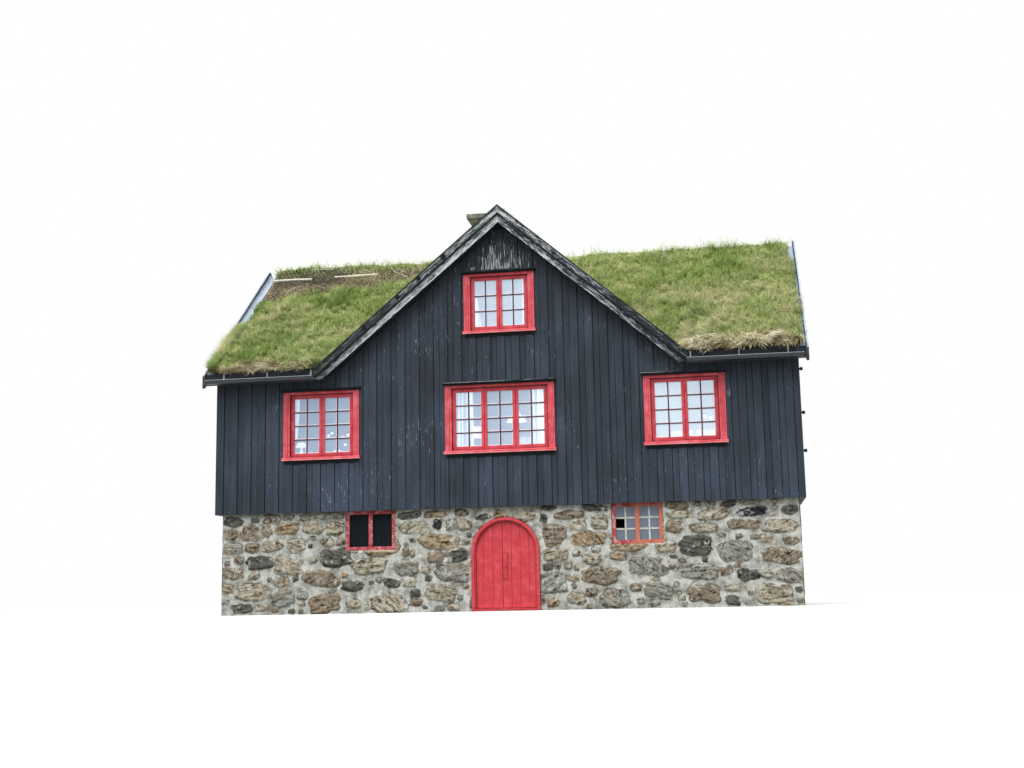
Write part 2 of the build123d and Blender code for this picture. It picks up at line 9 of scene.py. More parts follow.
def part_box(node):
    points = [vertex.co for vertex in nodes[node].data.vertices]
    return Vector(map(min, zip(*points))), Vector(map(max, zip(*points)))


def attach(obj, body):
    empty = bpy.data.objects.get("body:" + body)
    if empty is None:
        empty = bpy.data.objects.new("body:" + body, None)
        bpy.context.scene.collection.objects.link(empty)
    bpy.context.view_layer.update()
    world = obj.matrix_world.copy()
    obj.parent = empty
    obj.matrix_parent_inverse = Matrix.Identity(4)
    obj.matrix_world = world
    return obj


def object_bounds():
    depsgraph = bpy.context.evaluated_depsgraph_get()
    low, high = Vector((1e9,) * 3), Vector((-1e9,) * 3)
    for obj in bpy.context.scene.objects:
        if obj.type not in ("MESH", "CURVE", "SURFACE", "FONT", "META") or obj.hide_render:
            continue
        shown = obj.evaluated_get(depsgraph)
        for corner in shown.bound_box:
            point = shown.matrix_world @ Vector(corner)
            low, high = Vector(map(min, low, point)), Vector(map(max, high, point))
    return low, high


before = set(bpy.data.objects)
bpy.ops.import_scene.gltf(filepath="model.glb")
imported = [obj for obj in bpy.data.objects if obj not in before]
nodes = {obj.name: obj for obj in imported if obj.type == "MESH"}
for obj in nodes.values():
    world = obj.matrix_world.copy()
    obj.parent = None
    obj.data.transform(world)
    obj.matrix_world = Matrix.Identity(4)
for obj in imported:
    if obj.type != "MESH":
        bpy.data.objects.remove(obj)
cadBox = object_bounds()
print("stage: frame loaded,", len(nodes), "nodes")


# Small helpers

def toLinear(hexColor):
    channels = [int(hexColor[i:i + 2], 16) / 255 for i in (1, 3, 5)]
    return tuple(c / 12.92 if c <= 0.04045 else ((c + 0.055) / 1.055) ** 2.4 for c in channels) + (1.0,)


# An input takes a number, a hex colour, a socket, or a node whose first output in use is linked
def feed(tree, socket, value):
    if isinstance(value, str):
        value = toLinear(value)
    if isinstance(value, bpy.types.Node):
        value = next(output for output in value.outputs if output.enabled)
    if isinstance(value, bpy.types.NodeSocket):
        tree.links.new(value, socket)
    else:
        socket.default_value = value


def coat(material, **surface):
    shader = material.node_tree.nodes["Principled BSDF"]
    for name, value in surface.items():
        feed(material.node_tree, shader.inputs[name.replace("_", " ")], value)
    return material


def newMaterial(name, **surface):
    material = bpy.data.materials.new(name)
    material.use_nodes = True
    return coat(material, **surface)


# Inputs are a list, or a dictionary by name or number; a colour mix has its two colours at 6 and 7
def addNode(material, kind, inputs=(), stops=(), **settings):
    node = material.node_tree.nodes.new("ShaderNode" + kind)
    for name, value in settings.items():
        setattr(node, name, value)
    for name, value in inputs.items() if isinstance(inputs, dict) else enumerate(inputs):
        feed(material.node_tree, node.inputs[name], value)
    for number, (place, shade) in enumerate(stops):
        elements = node.color_ramp.elements
        element = elements[number] if number < len(elements) else elements.new(1.0)
        element.position = place
        element.color = toLinear(shade) if isinstance(shade, str) else (shade, shade, shade, 1.0)
    return node


def meshPiece(name, points, faces, material, smooth=False):
    mesh = bpy.data.meshes.new(name)
    mesh.from_pydata([tuple(p) for p in points], [], faces)
    mesh.validate()
    return placePiece(name, mesh, material, smooth)


# Faces of a box whose eight corners run x outermost, then y, then z
boxSides = [(0, 1, 3, 2), (4, 6, 7, 5), (0, 4, 5, 1), (2, 3, 7, 6), (0, 2, 6, 4), (1, 5, 7, 3)]


# Many upright boxes as one piece, each from its low to its high corner
def boxesPiece(name, boxes, material):
    points, faces = [], []
    for low, high in boxes:
        faces += [tuple(len(points) + i for i in side) for side in boxSides]
        points += [(x, y, z) for x in (low[0], high[0]) for y in (low[1], high[1]) for z in (low[2], high[2])]
    return meshPiece(name, points, faces, material)


# Four corners of each cell of a grid of points
def gridQuads(rows, columns):
    index = np.arange((rows + 1) * (columns + 1)).reshape(rows + 1, columns + 1)
    return np.stack([index[:-1, :-1], index[:-1, 1:], index[1:, 1:], index[1:, :-1]], -1).reshape(-1, 4)


# Quads of a tube whose points lie ring after ring
def tubeFaces(rings, around):
    faces = []
    for ring in range(rings - 1):
        for step in range(around):
            a, b = ring * around + step, ring * around + (step + 1) % around
            faces.append((a, b, b + around, a + around))
    return faces


# A large mesh from arrays: corner lists of one size each, and marks that its material reads at each point
def arrayPiece(name, points, faceSets, marks, material, smooth=False):
    mesh = bpy.data.meshes.new(name)
    loops = np.concatenate([faces.ravel() for faces in faceSets])
    sizes = np.concatenate([np.full(len(faces), faces.shape[1]) for faces in faceSets])
    mesh.vertices.add(len(points))
    mesh.vertices.foreach_set("co", points.ravel().astype(np.float32))
    mesh.loops.add(len(loops))
    mesh.loops.foreach_set("vertex_index", loops.astype(np.int32))
    mesh.polygons.add(len(sizes))
    mesh.polygons.foreach_set("loop_start", (np.cumsum(sizes) - sizes).astype(np.int32))
    mesh.update(calc_edges=True)
    for mark, values in marks.items():
        kind, field = ("FLOAT_VECTOR", "vector") if values.ndim == 2 else ("FLOAT", "value")
        mesh.attributes.new(mark, kind, "POINT").data.foreach_set(field, values.ravel().astype(np.float32))
    return placePiece(name, mesh, material, smooth)


# Every added piece rides on the house; the door leaves carry none
def placePiece(name, mesh, material, smooth):
    mesh.materials.append(material)
    if smooth:
        mesh.polygons.foreach_set("use_smooth", [True] * len(mesh.polygons))
    piece = bpy.data.objects.new(name, mesh)
    bpy.context.scene.collection.objects.link(piece)
    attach(piece, "house")
    return piece


def dress(names, material):
    for name in names:
        nodes[name].data.materials.clear()
        nodes[name].data.materials.append(material)


def nodePoints(name):
    mesh = nodes[name].data
    places = np.empty(len(mesh.vertices) * 3, np.float32)
    mesh.vertices.foreach_get("co", places)
    return places.reshape(-1, 3).astype(float)


# The boxes of the separate solids of one node, from left to right
def solidBoxes(name):
    points = nodePoints(name)
    keys, index = np.unique(np.round(points, 4), axis=0, return_inverse=True)
    index = index.ravel()
    owner = list(range(len(keys)))

    def find(item):
        while owner[item] != item:
            owner[item] = owner[owner[item]]
            item = owner[item]
        return item

    for polygon in nodes[name].data.polygons:
        corners = [find(index[v]) for v in polygon.vertices]
        for corner in corners[1:]:
            owner[find(corner)] = find(corners[0])
    groups = {}
    for item in range(len(keys)):
        groups.setdefault(find(item), []).append(keys[item])
    boxes = [(np.min(group, axis=0), np.max(group, axis=0)) for group in groups.values()]
    return sorted(boxes, key=lambda pair: (pair[0][0], pair[0][1]))


# Main lines of the house, read from the frame

wallLow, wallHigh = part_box("front_wall")
halfLength = wallHigh.x
faceY = -wallLow.y
storeyZ = wallLow.z
tiny = 0.001
roofPoints = nodePoints("turf_back")
ridgeZ = roofPoints[:, 2].max()
edgeY = roofPoints[:, 1].max()
ridgePoints = roofPoints[roofPoints[:, 2] > ridgeZ - tiny]
eavePoints = roofPoints[roofPoints[:, 1] > edgeY - tiny]
edgeZ = eavePoints[:, 2].max()
mainSlope = (ridgeZ - edgeZ) / edgeY
vergeEnds = {-1: (ridgePoints[:, 0].min(), eavePoints[:, 0].min()),
             1: (ridgePoints[:, 0].max(), eavePoints[:, 0].max())}
leftPoints = nodePoints("turf_gable_left")
rightPoints = nodePoints("turf_gable_right")
ridgeX = leftPoints[:, 0].max()
valleyLeft = leftPoints[:, 0].min()
valleyRight = rightPoints[:, 0].max()
gableEdgeY = -leftPoints[:, 1].min()
leftFoot = leftPoints[leftPoints[:, 0] < valleyLeft + tiny][:, 2].max()
rightFoot = rightPoints[rightPoints[:, 0] > valleyRight - tiny][:, 2].max()
leftSlope = (ridgeZ - leftFoot) / (ridgeX - valleyLeft)
rightSlope = (ridgeZ - rightFoot) / (valleyRight - ridgeX)
deckPoints = nodePoints("roof_deck_back")
roofDrop = edgeZ - deckPoints[deckPoints[:, 1] > edgeY - tiny][:, 2].min()


def mainTop(y):
    return ridgeZ - abs(y) * mainSlope


def gableTop(x):
    return ridgeZ - (ridgeX - x) * leftSlope if x < ridgeX else ridgeZ - (x - ridgeX) * rightSlope


# The roof is a little longer at the ridge than at the eaves
def vergeAt(y, side):
    atRidge, atEdge = vergeEnds[side]
    return atRidge + (atEdge - atRidge) * abs(y) / edgeY


# Camera, at the viewing angle of the photograph

cameraValues = dict(place=(4.507, -25.585, 0.249), yaw=-9.370, pitch=9.271, roll=-1.111, focalPixels=1310,
                    frameWidth=1024, sensor=36, farthest=300)


def placeCamera(values):
    yaw, pitch, roll = (math.radians(values[key]) for key in ("yaw", "pitch", "roll"))
    forward = Vector((math.sin(yaw) * math.cos(pitch), math.cos(yaw) * math.cos(pitch), math.sin(pitch)))
    level = Vector((math.cos(yaw), -math.sin(yaw), 0))
    upright = level.cross(forward)
    right = math.cos(roll) * level + math.sin(roll) * upright
    up = -math.sin(roll) * level + math.cos(roll) * upright
    data = bpy.data.cameras.new("photoCamera")
    data.sensor_width = values["sensor"]
    data.lens = values["focalPixels"] / values["frameWidth"] * values["sensor"]
    data.clip_end = values["farthest"]
    camera = bpy.data.objects.new("photoCamera", data)
    bpy.context.scene.collection.objects.link(camera)
    turn = Matrix((right, up, -forward)).transposed().to_4x4()
    x, y, z = values["place"]
    camera.matrix_world = Matrix.Translation((x, y - faceY, z)) @ turn
    bpy.context.scene.camera = camera


placeCamera(cameraValues)
print("stage: camera placed")


# Soft daylight from a bright overcast sky, with a pale floor that takes the shadow

lightValues = dict(zenith="#f4f7fb", horizon="#8d949c", brightFrom=0.75, skyStrength=1.5, sunPower=2.1,
                   sunAngle=50, sunTilt=(28, -8, 0), floorSize=240, floorShown="#f4f4f2",
                   floorBounce="#5c604f")


# The camera and glass see plain white where the sky is; only the light comes from the graded sky
def overcastSky(values):
    world = bpy.data.worlds.new("overcastSky")
    world.use_nodes = True
    tree = world.node_tree
    height = addNode(world, "SeparateXYZ", [addNode(world, "TexCoord").outputs["Generated"]]).outputs["Z"]
    sky = addNode(world, "ValToRGB", [height], [
        (0.0, values["horizon"]), (values["brightFrom"], values["zenith"])])
    background = tree.nodes["Background"]
    feed(tree, background.inputs["Color"], sky)
    feed(tree, background.inputs["Strength"], values["skyStrength"])
    white = addNode(world, "Background", ["#ffffff", 1.0])
    rays = addNode(world, "LightPath").outputs
    seen = addNode(world, "Math", [rays["Is Camera Ray"], rays["Is Glossy Ray"]], operation="MAXIMUM")
    seen = addNode(world, "Math", [seen, rays["Is Transmission Ray"]], operation="MAXIMUM")
    mix = addNode(world, "MixShader", [seen, background, white])
    feed(tree, tree.nodes["World Output"].inputs["Surface"], mix)
    return world


def buildStudio(values):
    scene = bpy.context.scene
    scene.view_settings.view_transform = "Standard"
    scene.world = overcastSky(values)
    sunData = bpy.data.lights.new("skySun", "SUN")
    sunData.energy = values["sunPower"]
    sunData.angle = math.radians(values["sunAngle"])
    sun = bpy.data.objects.new("skySun", sunData)
    sun.rotation_euler = [math.radians(a) for a in values["sunTilt"]]
    material = newMaterial("palePlasterFloor", Roughness=0.9)
    rays = addNode(material, "LightPath").outputs
    shown = addNode(material, "Math", [rays["Is Camera Ray"], rays["Is Glossy Ray"]], operation="MAXIMUM")
    tones = {0: shown, 6: values["floorBounce"], 7: values["floorShown"]}
    color = addNode(material, "Mix", tones, data_type="RGBA")
    coat(material, Base_Color=color)
    half = values["floorSize"] / 2
    mesh = bpy.data.meshes.new("floor")
    corners = [(-half, -half, 0), (half, -half, 0), (half, half, 0), (-half, half, 0)]
    mesh.from_pydata(corners, [], [(0, 1, 2, 3)])
    mesh.materials.append(material)
    floor = bpy.data.objects.new("floor", mesh)
    for thing in (sun, floor):
        scene.collection.objects.link(thing)


buildStudio(lightValues)
print("stage: light and floor")


# Pine boards under coats of black tar: a blue-black skin with vertical grain and a few pale scuffs. Close
# under the eaves it is painted darker as shade, and above the gable window it has worn to streaks of bare
# silver wood.
tarValues = dict(dark="#20272f", mid="#2e3743", light="#3e4858", scuff="#8d929a", bare="#d2d3d2",
                 fresh="#0b0e13", grain=(0.007, 0.5, 5.0), patch=(0.16, 0.6, 3.0),
                 scuffs=(0.011, 0.06, 5.0), worn=(0.0085, 0.1, 6.0), grainShare=0.5, boardTone=0.12,
                 cloudTone=0.5, wornLow=6.9, wornHigh=8.0, wornMiddle=0.08, wornHalf=0.85, apexTarAndShade=0.8,
                 eaveShade=0.55, roughness=0.6)
mainUnder = mainTop(faceY) - roofDrop


def tarredBoards(name, values, front=False):
    material = newMaterial(name, Roughness=values["roughness"], Specular_IOR_Level=0.3)
    add = partial(addNode, material)
    place = add("TexCoord").outputs["Object"]
    x, y, z = add("SeparateXYZ", [place]).outputs

    # Streaks along the board, given as their width, length and detail
    def streaks(width, length, detail):
        mapped = add("Mapping", {"Vector": place, "Scale": (1 / width, 1 / width, 1 / length)})
        return add("TexNoise", {"Vector": mapped, "Scale": 0.4, "Detail": detail, "Roughness": 0.64})

    grain = streaks(*values["grain"])
    board = add("NewGeometry").outputs["Random Per Island"]
    cloud = add("TexNoise", {"Vector": place, "Scale": 0.45, "Detail": 3.0})
    tone = add("Math", [board, values["boardTone"], -values["boardTone"] / 2], operation="MULTIPLY_ADD")
    for pattern in (grain, streaks(*values["patch"])):
        tone = add("Math", [pattern, values["grainShare"], tone], operation="MULTIPLY_ADD")
    cloud = add("Math", [cloud, values["cloudTone"], -values["cloudTone"] / 2], operation="MULTIPLY_ADD")
    tone = add("Math", [tone, cloud])
    color = add("ValToRGB", [tone], [(0.36, values["dark"]), (0.5, values["mid"]), (0.64, values["light"])])
    zone = add("TexNoise", {"Vector": place, "Scale": 0.9, "Detail": 2.0})
    flake = add("Math", [zone, 0.35, streaks(*values["scuffs"])], operation="MULTIPLY_ADD")
    layers = [(add("ValToRGB", [flake], [(0.825, 0.0), (0.885, 0.8)]), "scuff")]
    if front:
        left = add("Math", [x, leftSlope, ridgeZ - roofDrop - ridgeX * leftSlope], operation="MULTIPLY_ADD")
        right = add("Math", [x, -rightSlope, ridgeZ - roofDrop + ridgeX * rightSlope],
                    operation="MULTIPLY_ADD")
        under = add("Math", [left, right], operation="MINIMUM")
        under = add("Math", [under, mainUnder], operation="MAXIMUM")
        below = add("Math", [under, z], operation="SUBTRACT")
        # Painted shade: close under the roof the front wall darkens towards the blackest tar shade
        eaveShade = add("MapRange", {
            "Value": below, "From Min": values["eaveShade"], "From Max": 0.0, "To Max": 0.62})
        high = add("MapRange", {"Value": z, "From Min": values["wornHigh"], "From Max": values["wornLow"]})
        above = add("Math", [z, values["wornLow"] - 0.03], operation="GREATER_THAN")
        reach = add("Math", [x, values["wornMiddle"]], operation="SUBTRACT")
        reach = add("Math", [reach], operation="ABSOLUTE")
        inside = add("MapRange", {
            "Value": reach, "From Min": values["wornHalf"], "From Max": values["wornHalf"] * 0.3})
        zone = add("Math", [high, above], operation="MULTIPLY")
        zone = add("Math", [zone, inside], operation="MULTIPLY")
        level = add("Math", [zone, 0.17, streaks(*values["worn"])], operation="MULTIPLY_ADD")
        peel = add("ValToRGB", [level], [(0.655, 0.0), (0.69, 0.35), (0.745, 1.0)])
        gate = add("Math", [zone, 3.0], operation="MULTIPLY", use_clamp=True)
        # The upper middle of the gable darkens, partly as darker tar and partly as painted shade
        apexTarAndShade = add("Math", [above, inside], operation="MULTIPLY")
        layers += [(eaveShade, "fresh"), (add("Math", [apexTarAndShade, values["apexTarAndShade"]], operation="MULTIPLY"), "fresh"),
                   (add("Math", [peel, gate], operation="MULTIPLY"), "bare")]
    for share, shade in layers:
        color = add("Mix", {0: share, 6: color, 7: values[shade]}, data_type="RGBA")
    bump = add("Bump", {"Height": grain, "Strength": 0.5, "Distance": 0.004})
    return coat(material, Base_Color=color, Normal=bump)


tarBoard = tarredBoards("tarredPineBoards", tarValues)
tarBoardFront = tarredBoards("tarredPineBoardsFront", tarValues, front=True)
# Walls behind the boards and the roof decks: tar painted far darker, as the shade in the cracks and under the
# eaves
tarDarkAsShadeValues = dict(tarValues, dark="#07080a", mid="#0b0d10", light="#101318")
tarDarkAsShade = tarredBoards("tarredWallDarkenedAsShade", tarDarkAsShadeValues)


# Cladding: every second board lies over the two beside it, with a crack along one edge of the boards between

boardValues = dict(pitch=0.1475, over=0.027, under=0.011, lap=0.016, crack=0.011, seam=0.005, spread=0.003,
                   bevel=0.004, endJitter=0.006, topJitter=0.035, narrow=0.012, short=0.02, seed=11)


# One board between u0 and u1, from its foot up to a top that may slope
def boardSection(u0, u1, low, topLeft, topRight, depth, bevel):
    edge = depth - bevel
    rows = [(u0, 0.0), (u0, edge), (u0 + bevel, depth), (u1 - bevel, depth), (u1, edge), (u1, 0.0)]
    points = [(u, low, d) for u, d in rows]
    points += [(u, topLeft + (topRight - topLeft) * (u - u0) / (u1 - u0), d) for u, d in rows]
    faces = [(i, (i + 1) % 6, (i + 1) % 6 + 6, i + 6) for i in range(6)]
    return points, faces + [(5, 4, 3, 2, 1, 0), (6, 7, 8, 9, 10, 11)]


# Boards on one wall: u runs along the wall, cuts are (u0, u1, z0, z1) and topOf gives the upper edge at u
def clad(name, end, topOf, cuts, toWorld, material, values):
    rng = random.Random(values["seed"] + len(name))
    count = round(2 * end / values["pitch"])
    step = 2 * end / count
    lap = values["lap"] / 2
    points, faces = [], []
    for number in range(count):
        over = number % 2 == 0
        u0 = number * step - end + (-lap if over else lap + values["crack"])
        u1 = (number + 1) * step - end + (lap if over else -lap - values["seam"])
        depth = values["over" if over else "under"] + rng.uniform(0, values["spread"])
        low = storeyZ - rng.uniform(0, values["endJitter"])
        worn = rng.uniform(0, values["topJitter"])
        inside = [u for cut in cuts for u in cut[:2] if u0 + values["narrow"] < u < u1 - values["narrow"]]
        marks = sorted({u0, u1, *inside})
        for left, right in zip(marks, marks[1:]):
            spans = [(low, None)]
            for cut in sorted(cuts, key=lambda c: c[2]):
                if cut[0] < (left + right) / 2 < cut[1]:
                    spans += [(spans.pop()[0], cut[2]), (cut[3], None)]
            for bottom, top in spans:
                topLeft, topRight = (topOf(left) - worn, topOf(right) - worn) if top is None else (top, top)
                if min(topLeft, topRight) - bottom < values["short"]:
                    continue
                section, sides = boardSection(left, right, bottom, topLeft, topRight, depth, values["bevel"])
                faces += [tuple(len(points) + i for i in side) for side in sides]
                points += [toWorld(*p) for p in section]
    return meshPiece(name, points, faces, material)


# The holes for one wall's casings; side is -1 where u runs against the axis
def casingCuts(boxes, axis, side=1, ear=0.024):
    ends = [sorted((side * low[axis], side * high[axis])) for low, high in boxes]
    return [(u0 + ear, u1 - ear, low[2], high[2]) for (u0, u1), (low, high) in zip(ends, boxes)]


def frontTop(x):
    return max(gableTop(x) - roofDrop, mainUnder) if valleyLeft < x < valleyRight else mainUnder


def endTop(y):
    return mainTop(y) - roofDrop


frontCasings = solidBoxes("window_casings_front") + solidBoxes("window_casing_gable")
otherCasings = solidBoxes("window_casings_back_and_ends")
backCasings = [b for b in otherCasings if b[0][1] > faceY - 0.2]
leftCasings = [b for b in otherCasings if b[1][0] < 0.2 - halfLength]
rightCasings = [b for b in otherCasings if b[0][0] > halfLength - 0.2]
cornerX = halfLength + boardValues["over"]
clad("cladding_front", cornerX, frontTop, casingCuts(frontCasings, 0),
     lambda u, z, d: (u, -faceY - d, z), tarBoardFront, boardValues)
clad("cladding_back", cornerX, lambda x: mainUnder, casingCuts(backCasings, 0, -1),
     lambda u, z, d: (-u, faceY + d, z), tarBoard, boardValues)
clad("cladding_left_end", faceY, endTop, casingCuts(leftCasings, 1, -1),
     lambda u, z, d: (-halfLength - d, -u, z), tarBoard, boardValues)
clad("cladding_right_end", faceY, endTop, casingCuts(rightCasings, 1),
     lambda u, z, d: (halfLength + d, u, z), tarBoard, boardValues)
dress(["front_wall", "front_gable", "back_wall", "left_end_wall", "right_end_wall"], tarDarkAsShade)


# Drip boards and aprons: fresh black tar, with a pale painted highlight along the upper edges over the middle
# and right windows
dripValues = dict(black="#090b0e", grey="#181c21", pale="#c9ccc4", highlightFrom=-1.6, highlightTo=-1.2, edge=0.006,
                  fillet=0.024, inset=0.02, setBack=0.012, proud=0.075)


def freshTar(values, worn=False):
    name = "freshTarWithPaintedTopHighlight" if worn else "freshTar"
    material = newMaterial(name, Roughness=0.6, Specular_IOR_Level=0.15)
    add = partial(addNode, material)
    place = add("TexCoord").outputs["Object"]
    along = add("Mapping", {"Vector": place, "Scale": (3.0, 3.0, 30.0)})
    tone = add("TexNoise", {"Vector": along, "Scale": 1.0, "Detail": 6.0})
    color = add("ValToRGB", [tone], [(0.4, values["black"]), (0.65, values["grey"])])
    # The worn flag adds a pale painted highlight along the top edge of each front drip board
    if worn:
        x, y, z = add("SeparateXYZ", [place]).outputs
        edge = 0.0
        for low, high in solidBoxes("window_drip_boards"):
            if low[1] < 0:
                level = add("Math", [z, high[2] - values["edge"], 2 * values["edge"]], operation="COMPARE")
                inside = add("Math", [x, (low[0] + high[0]) / 2, (high[0] - low[0]) / 2], operation="COMPARE")
                level = add("Math", [level, inside], operation="MULTIPLY")
                edge = add("Math", [level, edge], operation="MAXIMUM")
        share = add("MapRange", {"Value": x, "From Min": values["highlightFrom"], "From Max": values["highlightTo"]})
        for gate in (share, add("ValToRGB", [tone], [(0.4, 0.0), (0.5, 1.0)])):
            edge = add("Math", [edge, gate], operation="MULTIPLY")
        color = add("Mix", {0: edge, 6: color, 7: values["pale"]}, data_type="RGBA")
    return coat(material, Base_Color=color)


# A black strip of painted shadow under each drip board of the front covers the upper half of the casing head
def dripShadowStrips(values):
    boxes = []
    for low, high in solidBoxes("window_drip_boards"):
        if high[1] < 0:
            front = max(low[1] + values["setBack"], -faceY - values["proud"])
            boxes.append(((low[0] + values["inset"], front, low[2] - values["fillet"]),
                          (high[0] - values["inset"], high[1], low[2])))
    boxesPiece("drip_fillets_front", boxes, plainTar)


dress(["window_drip_boards"], freshTar(dripValues, worn=True))
plainTar = freshTar(dripValues)
dress(["window_aprons"], plainTar)
dripShadowStrips(dripValues)
print("stage: cladding")


# Rubble of basalt and tuff in lime mortar. The stones are brown, ochre and grey with tilted layers, a few are
# near-black slate, and pale sandy mortar is smeared wide between them and over their edges.
stoneShades = dict(brown="#a49684", ochre="#bba78b", tan="#c7beac", grey="#a9aaa3", dark="#6f706b",
                   slate="#3c4148", yellow="#c9c4b2")
masonryValues = dict(mortarDark="#8c897f", mortar="#c8c7bd", mortarPale="#eae9e1", lichen="#e9e7dd",
                     rust="#a98a66", joint="#2b2922", sand=0.004, layer=0.05, ragged=0.075, roughness=0.92)


# The marks on the mesh give a point's distance in from its stone's edge, its stone's shade and its layers
def rubbleMasonry(name, values):
    material = newMaterial(name, Roughness=values["roughness"], Specular_IOR_Level=0.2)
    add = partial(addNode, material)
    place = add("TexCoord").outputs["Object"]
    edge, tone = (add("Attribute", attribute_name=mark).outputs["Fac"] for mark in ("edge", "tone"))
    bedding = add("Attribute", attribute_name="bedding").outputs["Vector"]

    def cloudy(scale, detail, vector=place):
        return add("TexNoise", {"Vector": vector, "Scale": scale, "Detail": detail, "Roughness": 0.68})

    count = len(stoneShades)
    reach = add("Math", [cloudy(26.0, 5.0), values["ragged"], edge], operation="MULTIPLY_ADD")
    inStone = add("ValToRGB", [reach], [(0.034, 0.0), (0.044, 1.0)])
    tint = add("ValToRGB", [tone], [(i / count, shade) for i, shade in enumerate(stoneShades.values())])
    tint.color_ramp.interpolation = "CONSTANT"
    warm = add("Math", [tone, 4 / count], operation="LESS_THAN")
    flat = add("Mapping", {"Vector": bedding, "Scale": (0.22 / values["layer"], 1 / values["layer"], 1)})
    layers = cloudy(1.0, 8.0, flat)
    rock = add("Math", [layers, 1.5, cloudy(16.0, 7.0)], operation="MULTIPLY_ADD")
    rock = add("Math", [rock, 0.4], operation="MULTIPLY")
    shading = add("ValToRGB", [rock], [
        (0.385, "#2c2925"), (0.445, "#8c857a"), (0.50, "#d6d1c7"), (0.57, "#ffffff")])
    stone = add("Mix", {0: 1.0, 6: tint, 7: shading}, data_type="RGBA", blend_type="MULTIPLY")
    for pattern, stops, shade in ((cloudy(2.6, 4.0), [(0.54, 0.0), (0.66, 0.4)], "rust"),
                                  (cloudy(21.0, 5.0), [(0.6, 0.0), (0.66, 0.9)], "lichen")):
        spots = add("Math", [add("ValToRGB", [pattern], stops), warm], operation="MULTIPLY")
        stone = add("Mix", {0: spots, 6: stone, 7: values[shade]}, data_type="RGBA")
    sand = cloudy(0.4 / values["sand"], 5.0)
    smear = add("Math", [sand, 0.5, cloudy(5.0, 7.0)], operation="MULTIPLY_ADD")
    mortar = add("ValToRGB", [smear], [
        (0.62, values["mortarDark"]), (0.74, values["mortar"]), (0.88, values["mortarPale"])])
    gravel = add("ValToRGB", [cloudy(34.0, 3.0)], [(0.36, 0.6), (0.43, 0.0)])
    mortar = add("Mix", {0: gravel, 6: mortar, 7: values["mortarDark"]}, data_type="RGBA")
    smeared = add("ValToRGB", [cloudy(6.5, 7.0)], [(0.57, 0.0), (0.63, 0.85)])
    # Painted shade: a dark line round each stone's edge, broken in places, stands for the shadow in the cracks
    crack = add("ValToRGB", [reach], [(0.016, 0.0), (0.033, 0.9), (0.05, 0.0)])
    broken = add("ValToRGB", [cloudy(4.5, 3.0)], [(0.42, 0.0), (0.52, 1.0)])
    shadow = add("Math", [crack, broken], operation="MULTIPLY")
    color = mortar
    for share, shade in ((inStone, stone), (smeared, mortar), (shadow, values["joint"])):
        color = add("Mix", {0: share, 6: color, 7: shade}, data_type="RGBA")
    relief = add("Mix", {0: inStone, 6: sand, 7: layers}, data_type="RGBA")
    bump = add("Bump", {"Height": relief, "Strength": 0.9, "Distance": 0.014})
    return coat(material, Base_Color=color, Normal=bump)


masonry = rubbleMasonry("limeMortaredBasaltRubble", masonryValues)
stoneNames = list(stoneShades)
wallStoneValues = dict(sizes=[(300, 0.50, 0.80, 0.28, 0.40), (900, 0.32, 0.54, 0.19, 0.29),
                              (2400, 0.20, 0.32, 0.13, 0.20), (3000, 0.09, 0.17, 0.07, 0.12)],
                       gap=0.022, fade=0.3, proudLow=0.006, proudHigh=0.028, mortarLevel=0.012,
                       edgeRound=0.035, lean=0.16, bedTilt=0.7, wander=0.012, swell=0.006, grit=0.0025,
                       ledge=0.008, lowest=0.001, highest=0.05, tucked=0.006, seed=5)

